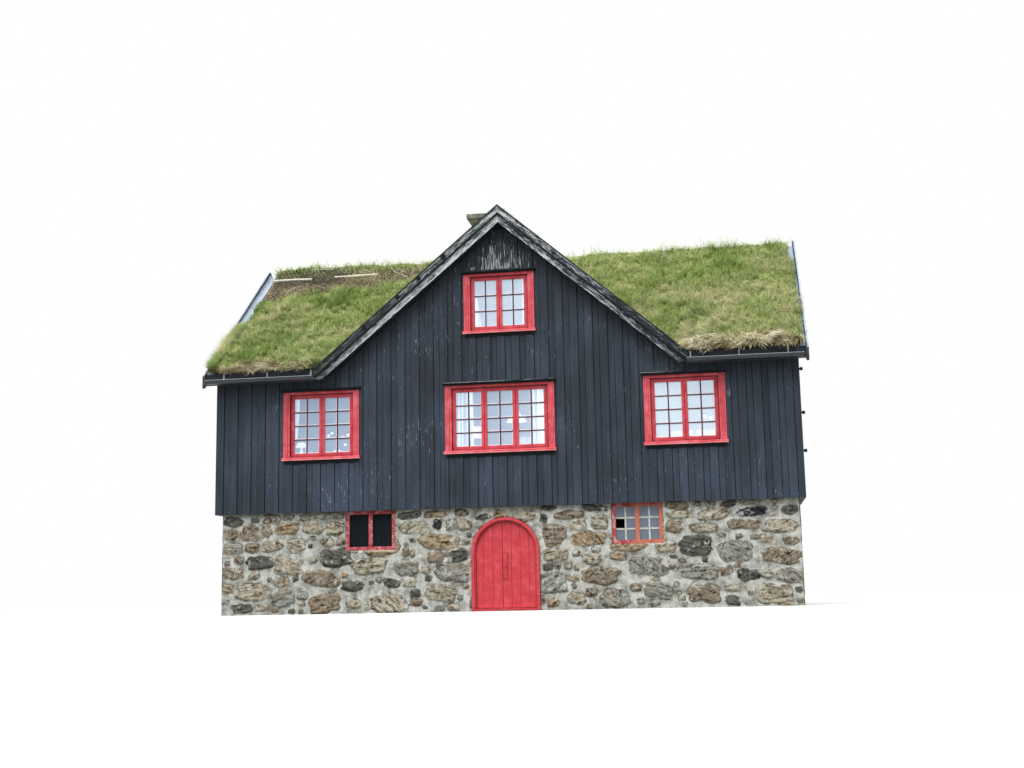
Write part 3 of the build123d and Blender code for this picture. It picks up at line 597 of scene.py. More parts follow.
# Stones of the front that stand out, as (x, z, width, height, shade) in metres
frontStones = [
    (-5.59, 1.89, 0.43, 0.20, "dark"), (-5.11, 1.92, 0.18, 0.12, "dark"), (-4.74, 1.92, 0.35, 0.19, "brown"),
    (-4.39, 1.95, 0.26, 0.12, "grey"), (-4.04, 1.93, 0.23, 0.15, "grey"), (-3.53, 1.96, 0.59, 0.13, "grey"),
    (-5.64, 1.64, 0.32, 0.23, "brown"), (-5.21, 1.65, 0.37, 0.32, "brown"), (-4.85, 1.68, 0.22, 0.25, "brown"),
    (-4.42, 1.73, 0.49, 0.25, "ochre"), (-3.87, 1.72, 0.42, 0.24, "tan"), (-3.41, 1.70, 0.38, 0.28, "tan"),
    (-5.59, 1.35, 0.41, 0.24, "grey"), (-4.73, 1.38, 0.46, 0.20, "tan"), (-4.22, 1.38, 0.40, 0.27, "tan"),
    (-1.87, 1.92, 0.45, 0.15, "dark"), (-1.34, 1.93, 0.43, 0.14, "ochre"), (-1.29, 1.73, 0.18, 0.20, "slate"),
    (-1.00, 1.71, 0.22, 0.22, "grey"), (-0.74, 1.70, 0.24, 0.22, "tan"), (-0.80, 1.95, 0.31, 0.12, "brown"),
    (-1.25, 1.38, 0.81, 0.29, "ochre"), (-1.34, 1.08, 0.30, 0.23, "brown"), (-0.85, 1.10, 0.34, 0.24, "dark"),
    (-1.77, 1.67, 0.60, 0.24, "yellow"), (-1.00, 0.77, 0.71, 0.33, "grey"), (-0.37, 1.85, 0.31, 0.12, "dark"),
    (0.51, 1.83, 0.36, 0.22, "tan"), (0.85, 1.79, 0.15, 0.18, "dark"), (0.94, 1.99, 0.32, 0.12, "dark"),
    (1.36, 1.84, 0.56, 0.16, "brown"), (1.05, 1.45, 0.46, 0.46, "brown"), (1.53, 1.62, 0.32, 0.21, "tan"),
    (1.95, 1.68, 0.34, 0.26, "yellow"), (1.72, 1.36, 0.70, 0.25, "ochre"), (1.86, 1.96, 0.50, 0.13, "dark"),
    (1.08, 1.06, 0.50, 0.24, "tan"), (3.47, 1.96, 0.44, 0.16, "brown"), (4.11, 1.96, 0.17, 0.12, "grey"),
    (4.46, 1.96, 0.29, 0.13, "dark"), (4.93, 1.98, 0.53, 0.12, "grey"), (4.90, 1.80, 0.55, 0.17, "slate"),
    (4.16, 1.77, 0.55, 0.22, "tan"), (5.61, 1.82, 0.30, 0.17, "dark"), (3.42, 1.55, 0.35, 0.25, "brown"),
    (3.96, 1.52, 0.49, 0.19, "tan"), (4.72, 1.56, 0.58, 0.19, "brown"), (5.42, 1.51, 0.60, 0.26, "tan"),
    (3.52, 1.78, 0.46, 0.17, "yellow"),
]


# Stones of falling size, dropped wherever they still fit round the ones already placed
def layRubble(width, height, placed, rng, values):
    stones = list(placed)
    gap = values["gap"]
    shades = ["brown", "ochre", "tan", "grey", "dark", "yellow"]
    for count, wideLow, wideHigh, tallLow, tallHigh in values["sizes"]:
        for _ in range(count):
            wide, tall = rng.uniform(wideLow, wideHigh), rng.uniform(tallLow, tallHigh)
            cu = rng.uniform(wide * 0.42, width - wide * 0.42)
            cv = rng.uniform(tall * 0.45, height - tall * 0.42)
            if all(abs(cu - s[0]) > (wide + s[2]) / 2 + gap or abs(cv - s[1]) > (tall + s[3]) / 2 + gap
                   for s in stones):
                stones.append((cu, cv, wide, tall, rng.choices(shades, weights=(6, 2, 6, 5, 3, 2))[0]))
    return stones


# One continuous face of stones and mortar; gapTo gives each point's distance from the openings
def rubbleFace(name, width, height, placed, gapTo, toWorld, cell, seed, values):
    rng = random.Random(values["seed"] + seed)
    columns, rows = round(width / cell), round(height / cell)
    grid = np.meshgrid(np.linspace(0, width, columns + 1), np.linspace(0, height, rows + 1))
    u, v = grid[0].ravel(), grid[1].ravel()
    away, outU, outV = gapTo(u, v)
    near = np.abs(away) < cell * 0.6
    u = np.where(near, u - away * outU, u)
    v = np.where(near, v - away * outV, v)
    swell = np.array([noise.fractal(Vector((a * 5, b * 5, seed)), 0.8, 2.0, 4) for a, b in zip(u, v)])
    grit = np.array([noise.noise(Vector((a * 34, b * 34, seed + 9))) for a, b in zip(u, v)])
    edge = np.full(len(u), -0.2)
    tone = np.zeros(len(u))
    proud = np.zeros(len(u))
    bedding = np.zeros((len(u), 3))
    for number, (cu, cv, wide, tall, shade) in enumerate(layRubble(width, height, placed, rng, values)):
        lean = rng.uniform(-values["lean"], values["lean"])
        waves = [(k, rng.uniform(0, 6.28), 0.12 / k ** 0.7 * rng.uniform(0.3, 1.2)) for k in range(2, 9)]
        power = rng.uniform(2.3, 5.0)
        layer = rng.uniform(-values["bedTilt"], values["bedTilt"])
        lift = rng.uniform(values["proudLow"], values["proudHigh"])
        slant = rng.uniform(-0.06, 0.06), rng.uniform(-0.07, 0.05)
        close = (np.abs(u - cu) < wide * 0.85) & (np.abs(v - cv) < tall * 0.95)
        du, dv = u[close] - cu, v[close] - cv
        along, across = du * math.cos(lean) + dv * math.sin(lean), dv * math.cos(lean) - du * math.sin(lean)
        size = (np.abs(2 * along / wide) ** power + np.abs(2 * across / tall) ** power) ** (1 / power)
        angle = np.arctan2(across / tall, along / wide)
        size = np.maximum(size, 0.05) / (1 + sum(a * np.cos(k * angle + p) for k, p, a in waves))
        reach = np.hypot(du, dv)
        inside = reach / size - reach + values["wander"] * swell[close]
        taller = inside > edge[close]
        places = np.flatnonzero(close)[taller]
        edge[places] = inside[taller]
        tone[places] = (stoneNames.index(shade) + 0.5) / len(stoneNames)
        proud[places] = lift + slant[0] * du[taller] + slant[1] * dv[taller]
        turned = du * math.cos(layer) + dv * math.sin(layer), dv * math.cos(layer) - du * math.sin(layer)
        bedding[places] = np.stack([turned[0], turned[1], np.full(len(du), number * 3.7)], 1)[taller]
    share = np.clip(edge / values["edgeRound"], 0, 1)
    share = share * share * (3 - 2 * share)
    layered = np.array([noise.noise(Vector((b[0] * 6, b[1] * 24, b[2]))) for b in bedding])
    depth = values["mortarLevel"] + values["swell"] * swell + values["grit"] * grit
    depth += share * (proud + values["ledge"] * layered)
    fade = np.clip(np.minimum(u, width - u) / values["fade"], 0.1, 1)
    depth = np.clip(depth * fade, values["lowest"], values["highest"])
    rim = near | (u < cell * 0.5) | (u > width - cell * 0.5)
    depth = np.where(rim, -values["tucked"], depth)
    quads = gridQuads(rows, columns)
    hollow = away < -cell * 0.6
    quads = quads[~hollow[quads].any(axis=1) & (away[quads].mean(axis=1) > -cell * 0.25)]
    points = np.stack(toWorld(u, v, depth), 1)
    used, packed = np.unique(quads, return_inverse=True)
    marks = dict(edge=edge[used], tone=tone[used], bedding=bedding[used])
    faceSets = [packed.reshape(-1, 4)]
    return arrayPiece(name, points[used], faceSets, marks, masonry, smooth=True)


stoneLow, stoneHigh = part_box("cellar_wall_front_left")[0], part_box("cellar_wall_front_right")[1]
stoneX = stoneHigh.x
stoneY = -stoneLow.y
stoneTop = stoneHigh.z
doorLow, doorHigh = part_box("door_frame")
doorX = (doorLow.x + doorHigh.x) / 2
doorRadius = (doorHigh.x - doorLow.x) / 2
springZ = doorHigh.z - doorRadius
cellarWindows = solidBoxes("cellar_windows")


def gapToFrontOpenings(u, v):
    x = u - stoneX
    rise = np.maximum(v - springZ, 0)
    reach = np.maximum(np.hypot(x - doorX, rise), 1e-6)
    away, outU, outV = reach - doorRadius, (x - doorX) / reach, rise / reach
    for low, high in cellarWindows:
        side = np.abs(x - (low[0] + high[0]) / 2) - (high[0] - low[0]) / 2
        drop = low[2] - v
        gap = np.maximum(side, drop)
        closer = gap < away
        sideways = np.sign(x - (low[0] + high[0]) / 2)
        outU = np.where(closer, np.where(side > drop, sideways, 0), outU)
        outV = np.where(closer, np.where(side > drop, 0, -1), outV)
        away = np.minimum(away, gap)
    return away, outU, outV


def gapToNothing(u, v):
    return np.full(len(u), 9.0), 0 * u, 0 * v


placed = [(x + stoneX, z, w, h, shade) for x, z, w, h, shade in frontStones]
endStoneValues = dict(wallStoneValues, fade=1.2)
rubbleFace("rubble_front", 2 * stoneX, stoneTop, placed, gapToFrontOpenings,
           lambda u, v, d: (u - stoneX, -stoneY - d, v), 0.024, 1, wallStoneValues)
rubbleFace("rubble_back", 2 * stoneX, stoneTop, [], gapToNothing,
           lambda u, v, d: (stoneX - u, stoneY + d, v), 0.034, 2, wallStoneValues)
rubbleFace("rubble_left_end", 2 * stoneY, stoneTop, [], gapToNothing,
           lambda u, v, d: (-stoneX - d, stoneY - u, v), 0.03, 3, endStoneValues)
rubbleFace("rubble_right_end", 2 * stoneY, stoneTop, [], gapToNothing,
           lambda u, v, d: (stoneX + d, u - stoneY, v), 0.03, 4, endStoneValues)
dress(["cellar_wall_front_left", "cellar_wall_front_right", "cellar_wall_back", "cellar_wall_left",
       "cellar_wall_right", "cellar_arch", "cellar_floor"], rubbleMasonry("limeMortarBed", masonryValues))
print("stage: rubble walls")


# Oil paint on planed pine: coral red, satin, faded paler on edges, with painted shade darkening the grooves
# and where parts meet
redValues = dict(fresh="#f15864", deep="#cf3b47", faded="#fb8a90", creaseShade="#4a1418", shadeStrength=0.75, grain=0.006,
                 roughness=0.5, seam=0.05, open=0.82)
redShades = {
    "redOilPaintOnCasings": {},
    "redOilPaintOnSashes": dict(fresh="#dc4552", deep="#bb303e", faded="#ee6d76", shadeStrength=0.95, seam=0.1,
                                open=0.9),
    "redOilPaintOnDoorBoards": dict(fresh="#dc424c", deep="#cb3641", faded="#ea5f68", shadeStrength=0.95),
    "redOilPaintWornAndHighlitOnSillEdge": dict(fresh="#f99a9b", deep="#ee7a80", faded="#fcc4c0"),
    # The flutes' red is darkened as painted shade in their grooves
    "redOilPaintAsFluteShade": dict(fresh="#a5303c", deep="#85222d", faded="#b84852", shadeStrength=0.5),
    "redPaintOverIronHinges": dict(fresh="#6d2029", deep="#43161c", faded="#8a3b42", shadeStrength=0.5),
    # The glazing bars' red is darkened to maroon as painted shade
    "redOilPaintDarkenedAsBarShade": dict(fresh="#4d2c40", deep="#372131", faded="#6c4257"),
}


def redPaint(name, values):
    material = newMaterial(name, Roughness=values["roughness"], Specular_IOR_Level=0.4)
    add = partial(addNode, material)
    place = add("TexCoord").outputs["Object"]
    broad = add("TexNoise", {"Vector": place, "Scale": 5.5, "Detail": 6.0, "Roughness": 0.6})
    streaks = add("Mapping", {"Vector": place, "Scale": (30.0, 30.0, 1.2)})
    streaks = add("TexNoise", {"Vector": streaks, "Scale": 1.0, "Detail": 4.0})
    tone = add("Math", [streaks, 0.3, broad], operation="MULTIPLY_ADD")
    color = add("ValToRGB", [tone], [
        (0.36, values["deep"]), (0.64, values["fresh"]), (0.92, values["faded"])])
    # Painted shade: ambient occlusion darkens the paint in grooves and where parts meet
    occlusionShade = add("AmbientOcclusion", {"Distance": values["seam"]}, samples=6).outputs["AO"]
    occlusionShade = add("ValToRGB", [occlusionShade], [(0.4, values["shadeStrength"]), (values["open"], 0.0)])
    color = add("Mix", {0: occlusionShade, 6: color, 7: values["creaseShade"]}, data_type="RGBA")
    fine = 1 / values["grain"]
    grain = add("Mapping", {"Vector": place, "Scale": (fine, fine, 4.0)})
    grain = add("TexNoise", {"Vector": grain, "Scale": 0.5, "Detail": 4.0})
    bump = add("Bump", {"Height": grain, "Strength": 0.25, "Distance": 0.002})
    return coat(material, Base_Color=color, Normal=bump)


reds = {name: redPaint(name, dict(redValues, **shades)) for name, shades in redShades.items()}
redNodes = {
    "redOilPaintOnCasings": ["window_casings_front", "window_casing_gable", "window_casings_back_and_ends"],
    "redOilPaintOnSashes": ["window_sashes_front", "window_sash_gable", "window_sashes_back_and_ends"],
    "redOilPaintOnDoorBoards": ["door_frame", "door_leaf_left", "door_leaf_right", "door_lock"],
}
for name, names in redNodes.items():
    dress(names, reds[name])


# Along the lower front edge of every sill the paint is paler, partly worn and partly a painted highlight
def sillEdges(values):
    boxes = []
    for low, high in frontCasings + otherCasings:
        start, end = list(low), list(high)
        end[2] = low[2] + values["tall"]
        across = 1 if high[0] - low[0] > high[1] - low[1] else 0
        outer = max(low[across], high[across], key=abs)
        start[across], end[across] = outer - values["skin"], outer + values["skin"]
        boxes.append((start, end))
    boxesPiece("sill_edges", boxes, reds["redOilPaintWornAndHighlitOnSillEdge"])


sillEdges(dict(tall=0.016, skin=0.0015))


# Old paint on the cellar frames: chalky red with pale worn edges on the left one, and on the right one a red
# stile, with orange primer showing on the mullion and the right stile
oldPaintValues = dict(red="#c24c56", pale="#d8a09c", deep="#8c2a34", primer="#d3775c", primerPale="#e4af9b",
                      primerFrom=2.55, primerTo=2.62)


def wornPaint(values):
    material = newMaterial("wornRedPaintOverPrimer", Roughness=0.75)
    add = partial(addNode, material)
    place = add("TexCoord").outputs["Object"]
    patch = add("TexNoise", {"Vector": place, "Scale": 11.0, "Detail": 6.0, "Roughness": 0.72})
    x = add("SeparateXYZ", [place]).outputs["X"]
    right = add("MapRange", {"Value": x, "From Min": values["primerFrom"], "From Max": values["primerTo"]})
    red = add("ValToRGB", [patch], [
        (0.36, values["deep"]), (0.46, values["red"]), (0.52, values["red"]), (0.6, values["pale"])])
    primer = add("ValToRGB", [patch], [
        (0.38, values["red"]), (0.45, values["primer"]), (0.6, values["primer"]),
        (0.68, values["primerPale"])])
    color = add("Mix", {0: right, 6: red, 7: primer}, data_type="RGBA")
    bump = add("Bump", {"Height": patch, "Strength": 0.4, "Distance": 0.003})
    return coat(material, Base_Color=color, Normal=bump)


dress(["cellar_windows"], wornPaint(oldPaintValues))
print("stage: painted joinery")


# Window panes: old flat glass that mirrors the pale sky, deeper blue at the left end, paler to the right
# and up in the gable. The faint emission stands for that mirrored sky.
skyGlassValues = dict(skies=("#a3b3c9", "#b0c0d4", "#d5e3ef"), alpha=0.42, glow=0.75, ends=(-4.3, 4.3),
                      gable=(5.0, 5.6), gableShare=0.2)
dimGlassValues = dict(skyGlassValues, skies=("#66727f", "#717e8c", "#7b8a99"), alpha=0.72, glow=0.08)


def windowGlass(name, values):
    material = newMaterial(name, Roughness=0.05, Alpha=values["alpha"], Emission_Strength=values["glow"])
    add = partial(addNode, material)
    place = add("TexCoord").outputs["Object"]
    x, y, z = add("SeparateXYZ", [place]).outputs
    ripple = add("TexNoise", {"Vector": place, "Scale": 3.5, "Detail": 2.0})
    left, right = values["ends"]
    across = add("MapRange", {"Value": x, "From Min": left, "From Max": right})
    level = add("Math", [ripple, 0.12, across], operation="MULTIPLY_ADD")
    low, high = values["gable"]
    rise = add("MapRange", {"Value": z, "From Min": low, "From Max": high, "To Max": values["gableShare"]})
    level = add("Math", [level, rise])
    color = add("ValToRGB", [level], list(zip((0.12, 0.55, 0.92), values["skies"])))
    return coat(material, Base_Color=color, Emission_Color=color)


dress(["window_glass_front", "window_glass_back_and_ends"], windowGlass("skyLitWindowGlass", skyGlassValues))
dress(["cellar_glass"], windowGlass("dimCellarGlass", dimGlassValues))


# Plain finishes of the small parts: two shades in soft mottling, each mottle scale per metre
def plainFinish(name, dark, light, scale, bumpDepth=0.002, stretch=(1, 1, 1), **surface):
    material = newMaterial(name, **surface)
    mapped = addNode(material, "Mapping", {
        "Vector": addNode(material, "TexCoord").outputs["Object"], "Scale": stretch})
    tone = addNode(material, "TexNoise", {"Vector": mapped, "Scale": scale, "Detail": 6.0, "Roughness": 0.65})
    color = addNode(material, "ValToRGB", [tone], [(0.35, dark), (0.68, light)])
    bump = addNode(material, "Bump", {"Height": tone, "Strength": 0.5, "Distance": bumpDepth})
    return coat(material, Base_Color=color, Normal=bump)


# Galvanised strip: pale blue-grey zinc, dulled
zinc = plainFinish("dulledGalvanisedStrip", "#a5b1c1", "#c6d1de", 14.0, Roughness=0.45, Metallic=0.35)
# Forged iron under black paint: dull, faintly pitted
iron = plainFinish("paintedForgedIron", "#0e0f11", "#1f2124", 60.0, Roughness=0.6, Metallic=0.2)
# Sawn pine gone brown indoors
pine = plainFinish("brownedSawnPine", "#5b4632", "#7d6247", 30.0, 0.003, (1, 1, 0.15), Roughness=0.8)
# Dark stained shutter boards
panelBoard = plainFinish("darkStainedPanel", "#0d1116", "#1b2128", 24.0, 0.003, (1, 1, 0.12), Roughness=0.8,
                         Specular_IOR_Level=0.12)
# Mossy basalt slab of the chimney: grey-green with cushions of moss
chimneyStone = plainFinish("mossyBasaltSlab", "#4a4c44", "#9a9c8b", 8.0, 0.02, Roughness=0.95)
# Eave boards: thin old tar with the grain along the eave
eaveTar = plainFinish("tarredEaveBoard", "#16191d", "#34393e", 16.0, 0.004, (0.2, 1, 1), Roughness=0.8)
dress(["verge_flashings"], zinc)
for side in ("left", "right"):
    dress([f"door_straps_{side}", f"door_pintles_{side}"], iron)
dress(["wall_hooks"], iron)
dress(["wall_plates", "cellar_lintel", "storey_floor", "attic_floor"], pine)
dress([n for n in nodes if n.startswith("roof_deck")], tarDarkAsShade)
dress(["cellar_window_panels"], panelBoard)
dress(["chimney_stack", "chimney_cap"], chimneyStone)
dress(["turf_boards"], eaveTar)


# Rakes of tarred pine. A thin black cap lies on top, then an upper board, a black band painted as the shadow
# in the groove below it, and a lower board.
# The tar has flaked along the grain: white wood low on the left, black and white patches on the right.
rakeValues = dict(black="#0d1013", dark="#24292e", upper="#24292e", mid="#5b6168", pale="#e3e6e9",
                  moss="#5a6150", capLow=0.095, upperLow=-0.038, grooveShadowLow=-0.08, edge=0.008,
                  grain=(0.11, 0.012, 6.0), patch=(0.7, 0.12, 3.0), mossy=(0.5, 0.05, 3.0), side=1,
                  slope=rightSlope, peel=(0.085, 0.105), darkFoot=(2.9, 3.7), darkShare=0.6)
leftRakeValues = dict(rakeValues, upper="#545d59", mid="#788180", side=-1, slope=leftSlope,
                      peel=(0.075, 0.17))


def flakedRake(name, values):
    material = newMaterial(name, Roughness=0.8, Specular_IOR_Level=0.3)
    add = partial(addNode, material)
    x, y, z = add("SeparateXYZ", [add("TexCoord").outputs["Object"]]).outputs
    away = add("Math", [x, values["side"], -values["side"] * ridgeX], operation="MULTIPLY_ADD")
    level = add("Math", [away, values["slope"], z], operation="MULTIPLY_ADD")
    level = add("Math", [level, ridgeZ], operation="SUBTRACT")
    lengthways = add("CombineXYZ", [away, y, level])

    # Flakes along the board, given as their length, width and detail
    def flakes(length, width, detail):
        mapped = add("Mapping", {"Vector": lengthways, "Scale": (1 / length, 1 / width, 1 / width)})
        return add("TexNoise", {"Vector": mapped, "Scale": 1.0, "Detail": detail, "Roughness": 0.68})

    grain = flakes(*values["grain"])
    mixed = add("Math", [flakes(*values["patch"]), 0.5, grain], operation="MULTIPLY_ADD")
    mixed = add("Math", [away, -0.025, mixed], operation="MULTIPLY_ADD")
    upper, lower = (add("ValToRGB", [mixed], [
        (0.72 - peel, values["dark"]), (0.8 - peel, shade), (0.84 - peel, values["mid"]),
        (0.88 - peel, values["pale"])])
        for peel, shade in zip(values["peel"], (values["upper"], values["dark"])))
    cap = add("Mix", {0: flakes(*values["mossy"]), 6: values["black"], 7: values["moss"]}, data_type="RGBA")
    color = lower
    for low, shade in (("grooveShadowLow", values["black"]), ("upperLow", upper), ("capLow", cap)):
        start = values[low]
        step = add("MapRange", {"Value": level, "From Min": start, "From Max": start + values["edge"]})
        color = add("Mix", {0: step, 6: color, 7: shade}, data_type="RGBA")
    start, end = values["darkFoot"]
    foot = add("MapRange", {"Value": away, "From Min": start, "From Max": end, "To Max": values["darkShare"]})
    color = add("Mix", {0: foot, 6: color, 7: values["dark"]}, data_type="RGBA")
    bump = add("Bump", {"Height": grain, "Strength": 0.8, "Distance": 0.006})
    return coat(material, Base_Color=color, Normal=bump)


# Verge boards: tarred pine gone grey, with the grain along the slope
vergeValues = dict(dark="#20252a", mid="#474d50", pale="#a9adab", grainLength=0.45, grainWidth=0.012)


def greyVerge(values):
    material = newMaterial("greyedTarVerge", Roughness=0.8, Specular_IOR_Level=0.3)
    add = partial(addNode, material)
    x, y, z = add("SeparateXYZ", [add("TexCoord").outputs["Object"]]).outputs
    folded = add("CombineXYZ", [x, add("Math", [y], operation="ABSOLUTE"), z])
    turned = add("Mapping", {"Vector": folded, "Rotation": (math.atan(mainSlope), 0, 0)})
    long, wide = 1 / values["grainLength"], 1 / values["grainWidth"]
    stretched = add("Mapping", {"Vector": turned, "Scale": (wide, long, wide)})
    grain = add("TexNoise", {"Vector": stretched, "Scale": 0.4, "Detail": 7.0, "Roughness": 0.7})
    color = add("ValToRGB", [grain], [(0.35, values["dark"]), (0.58, values["mid"]), (0.68, values["pale"])])
    bump = add("Bump", {"Height": grain, "Strength": 0.8, "Distance": 0.006})
    return coat(material, Base_Color=color, Normal=bump)


# Paint of the eave's ironwork, which changes at a height near the gutter's rim: black enamel with a painted
# highlight line along the gutter's rim, and straps that are white where they show over the rim
gutterValues = dict(roughness=0.35, low=-0.012, high=-0.006, share=0.8, mottle=(8.0, 6.0),
                    below=[(0.35, "#0f1216"), (0.68, "#23282e")], above="#a9b4bf")
strapValues = dict(roughness=0.5, low=0.004, high=0.012, share=1.0, mottle=(30.0, 4.0),
                   below="#1b1e22", above=[(0.35, "#9fa8b2"), (0.6, "#e6ebf1")])


def rimPaint(name, values):
    material = newMaterial(name, Roughness=values["roughness"])
    add = partial(addNode, material)
    place = add("TexCoord").outputs["Object"]
    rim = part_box("gutters")[1].z
    z = add("SeparateXYZ", [place]).outputs["Z"]
    over = add("MapRange", {"Value": z, "From Min": rim + values["low"], "From Max": rim + values["high"],
                            "To Max": values["share"]})
    scale, detail = values["mottle"]
    wear = add("TexNoise", {"Vector": place, "Scale": scale, "Detail": detail})
    below, above = (shade if isinstance(shade, str) else add("ValToRGB", [wear], shade)
                    for shade in (values["below"], values["above"]))
    return coat(material, Base_Color=add("Mix", {0: over, 6: below, 7: above}, data_type="RGBA"))


dress(["gable_barge_left"], flakedRake("flakedTarRakeLeft", leftRakeValues))
dress(["gable_barge_right"], flakedRake("flakedTarRakeRight", rakeValues))
dress(["verge_boards"], greyVerge(vergeValues))
dress(["gutters"], rimPaint("blackEnamelledGutter", gutterValues))
dress(["gutter_straps"], rimPaint("blackAndWhiteStrapPaint", strapValues))


# Tarred cleats nailed across the left rake, by their distance from the ridge in metres
cleatValues = dict(away=[1.10, 1.62, 2.06, 2.76], long=0.085, tall=0.07, proud=0.022, sunk=0.004)


def rakeCleats(values):
    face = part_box("gable_barge_left")[0].y
    slope = math.atan(leftSlope)
    points, faces = [], []
    for away in values["away"]:
        faces += [tuple(len(points) + i for i in side) for side in boxSides]
        for x in (-values["long"] / 2, values["long"] / 2):
            for y in (face - values["proud"], face + values["sunk"]):
                for z in (0, values["tall"]):
                    points.append((ridgeX - away + x * math.cos(slope) - z * math.sin(slope), y,
                                   ridgeZ - away * leftSlope + x * math.sin(slope) + z * math.cos(slope)))
    meshPiece("rake_cleats_left", points, faces, plainTar)


rakeCleats(cleatValues)
print("stage: small parts and edge boards")


# Glazing bars in every light: thin planed bars, two panes wide
barValues = dict(width=0.025, depth=0.03, rowDepth=0.024, rowsStorey=4, rowsGable=3)
cellarBarValues = dict(barValues, width=0.032, rowsStorey=3)


def paneRows(low, values):
    return values["rowsGable" if low[2] > wallHigh.z else "rowsStorey"]


def glazingBars(name, lights, material, values):
    boxes = []
    half = values["width"] / 2
    for low, high in lights:
        axis, across = (0, 1) if high[0] - low[0] > high[1] - low[1] else (1, 0)
        centre = (low[across] + high[across]) / 2
        middle = (low[axis] + high[axis]) / 2
        bars = [(middle - half, middle + half, low[2], high[2], values["depth"])]
        rows = paneRows(low, values)
        for row in range(1, rows):
            z = low[2] + (high[2] - low[2]) * row / rows
            bars.append((low[axis], high[axis], z - half, z + half, values["rowDepth"]))
        for a0, a1, z0, z1, depth in bars:
            start, end = [0, 0, z0], [0, 0, z1]
            start[axis], end[axis] = a0, a1
            start[across], end[across] = centre - depth / 2, centre + depth / 2
            boxes.append((start, end))
    boxesPiece(name, boxes, material)


# White putty along the foot and the right side of every pane
puttyValues = dict(depth=0.016, foot=0.018, side=0.015)


def puttyLines(name, lights, material, values):
    boxes = []
    half = barValues["width"] / 2
    for low, high in lights:
        y0, y1 = ((low[1] + high[1] + turn * values["depth"]) / 2 for turn in (-1, 1))
        rows = paneRows(low, barValues)
        for row in range(rows):
            z = low[2] + (high[2] - low[2]) * row / rows + (half if row else 0)
            boxes.append(((low[0], y0, z), (high[0], y1, z + values["foot"])))
        for x in ((low[0] + high[0]) / 2 - half, high[0]):
            boxes.append(((x - values["side"], y0, low[2]), (x, y1, high[2])))
    boxesPiece(name, boxes, material)


frontGlass = solidBoxes("window_glass_front")
# The putty has a faint painted glow so that its white shows
putty = plainFinish("whiteGlazingPutty", "#e3d5db", "#fbf5f8", 30.0, Roughness=0.7,
                    Emission_Color=(1, 0.96, 0.98, 1), Emission_Strength=0.12)
palePaint = plainFinish("flakedWhitePaintOnBars", "#b9b2a8", "#f1ede6", 30.0, Roughness=0.7)
# Bars of the storey and gable windows take the red paint darkened as painted shade
barRedAsShade = reds["redOilPaintDarkenedAsBarShade"]
for side in ("front", "back_and_ends"):
    glazingBars(f"glazing_bars_{side}", solidBoxes(f"window_glass_{side}"), barRedAsShade, barValues)
glazingBars("glazing_bars_cellar", solidBoxes("cellar_glass"), palePaint, cellarBarValues)
puttyLines("putty_lines_front", frontGlass, putty, puttyValues)


# Scratched flutes down the side boards of each front casing, drawn as thin strips of darker red that are
# painted shade in the grooves, and two hinge knuckles a side
casingValues = dict(ear=0.024, board=0.128, face=0.045, sillTop=0.064, flutes=(0.026, 0.056), flute=0.006,
                    skin=0.0008, wall=0.095, knuckle=0.015, deep=0.02, tall=0.05, share=0.14)


def casingTrim(values):
    flutes, hinges = [], []
    for low, high in frontCasings:
        left, right = low[0] + values["ear"], high[0] - values["ear"]
        y, z = low[1] + values["face"], low[2] + values["sillTop"]
        for offset in values["flutes"]:
            for x in (left + offset, right - offset - values["flute"]):
                flutes.append(((x, y - values["skin"], z), (x + values["flute"], y, high[2])))
        y = low[1] + values["wall"]
        for x in (left + values["board"], right - values["board"] - values["knuckle"]):
            for share in (values["share"], 1 - values["share"]):
                z = low[2] + (high[2] - low[2]) * share - values["tall"] / 2
                hinges.append(((x, y, z), (x + values["knuckle"], y + values["deep"], z + values["tall"])))
    boxesPiece("casing_flutes_front", flutes, reds["redOilPaintAsFluteShade"])
    boxesPiece("sash_hinges_front", hinges, reds["redPaintOverIronHinges"])


casingTrim(casingValues)
print("stage: glazing bars")


# Behind the windows: white curtains in vertical folds, lamps, and small ornaments on the sills

# Washed white linen, nearly opaque, with vertical streaks of painted shade for its folds, drawn coarser than
# real so that they show, and a painted glow that keeps it bright behind the glass
linenValues = dict(shade="#8d999c", light="#f9faf5", foldShadeStreaks=(30.0, 4.0, 0.5), glow=0.82, fold=0.055,
                   depth=0.016, steps=6, rows=8, behind=0.05)


def whiteLinen(values):
    material = newMaterial("washedWhiteLinen", Roughness=0.9, Specular_IOR_Level=0.1)
    foldShadeStreaks = addNode(material, "Mapping", {
        "Vector": addNode(material, "TexCoord").outputs["Object"], "Scale": values["foldShadeStreaks"]})
    tone = addNode(material, "TexNoise", {"Vector": foldShadeStreaks, "Scale": 1.0, "Detail": 4.0})
    color = addNode(material, "ValToRGB", [tone], [(0.44, values["shade"]), (0.58, values["light"])])
    return coat(material, Base_Color=color, Emission_Color=color, Emission_Strength=values["glow"])


linen = whiteLinen(linenValues)
storeyGlass = [b for b in frontGlass if b[0][2] < wallHigh.z]
gableGlass = [b for b in frontGlass if b[0][2] > wallHigh.z]
glassBack = frontGlass[0][1][1]


# A place along one axis of a light: a share of its width or height, and metres past it
def spot(light, axis, share, metres):
    low, high = light
    return low[axis] + (high[axis] - low[axis]) * share + metres


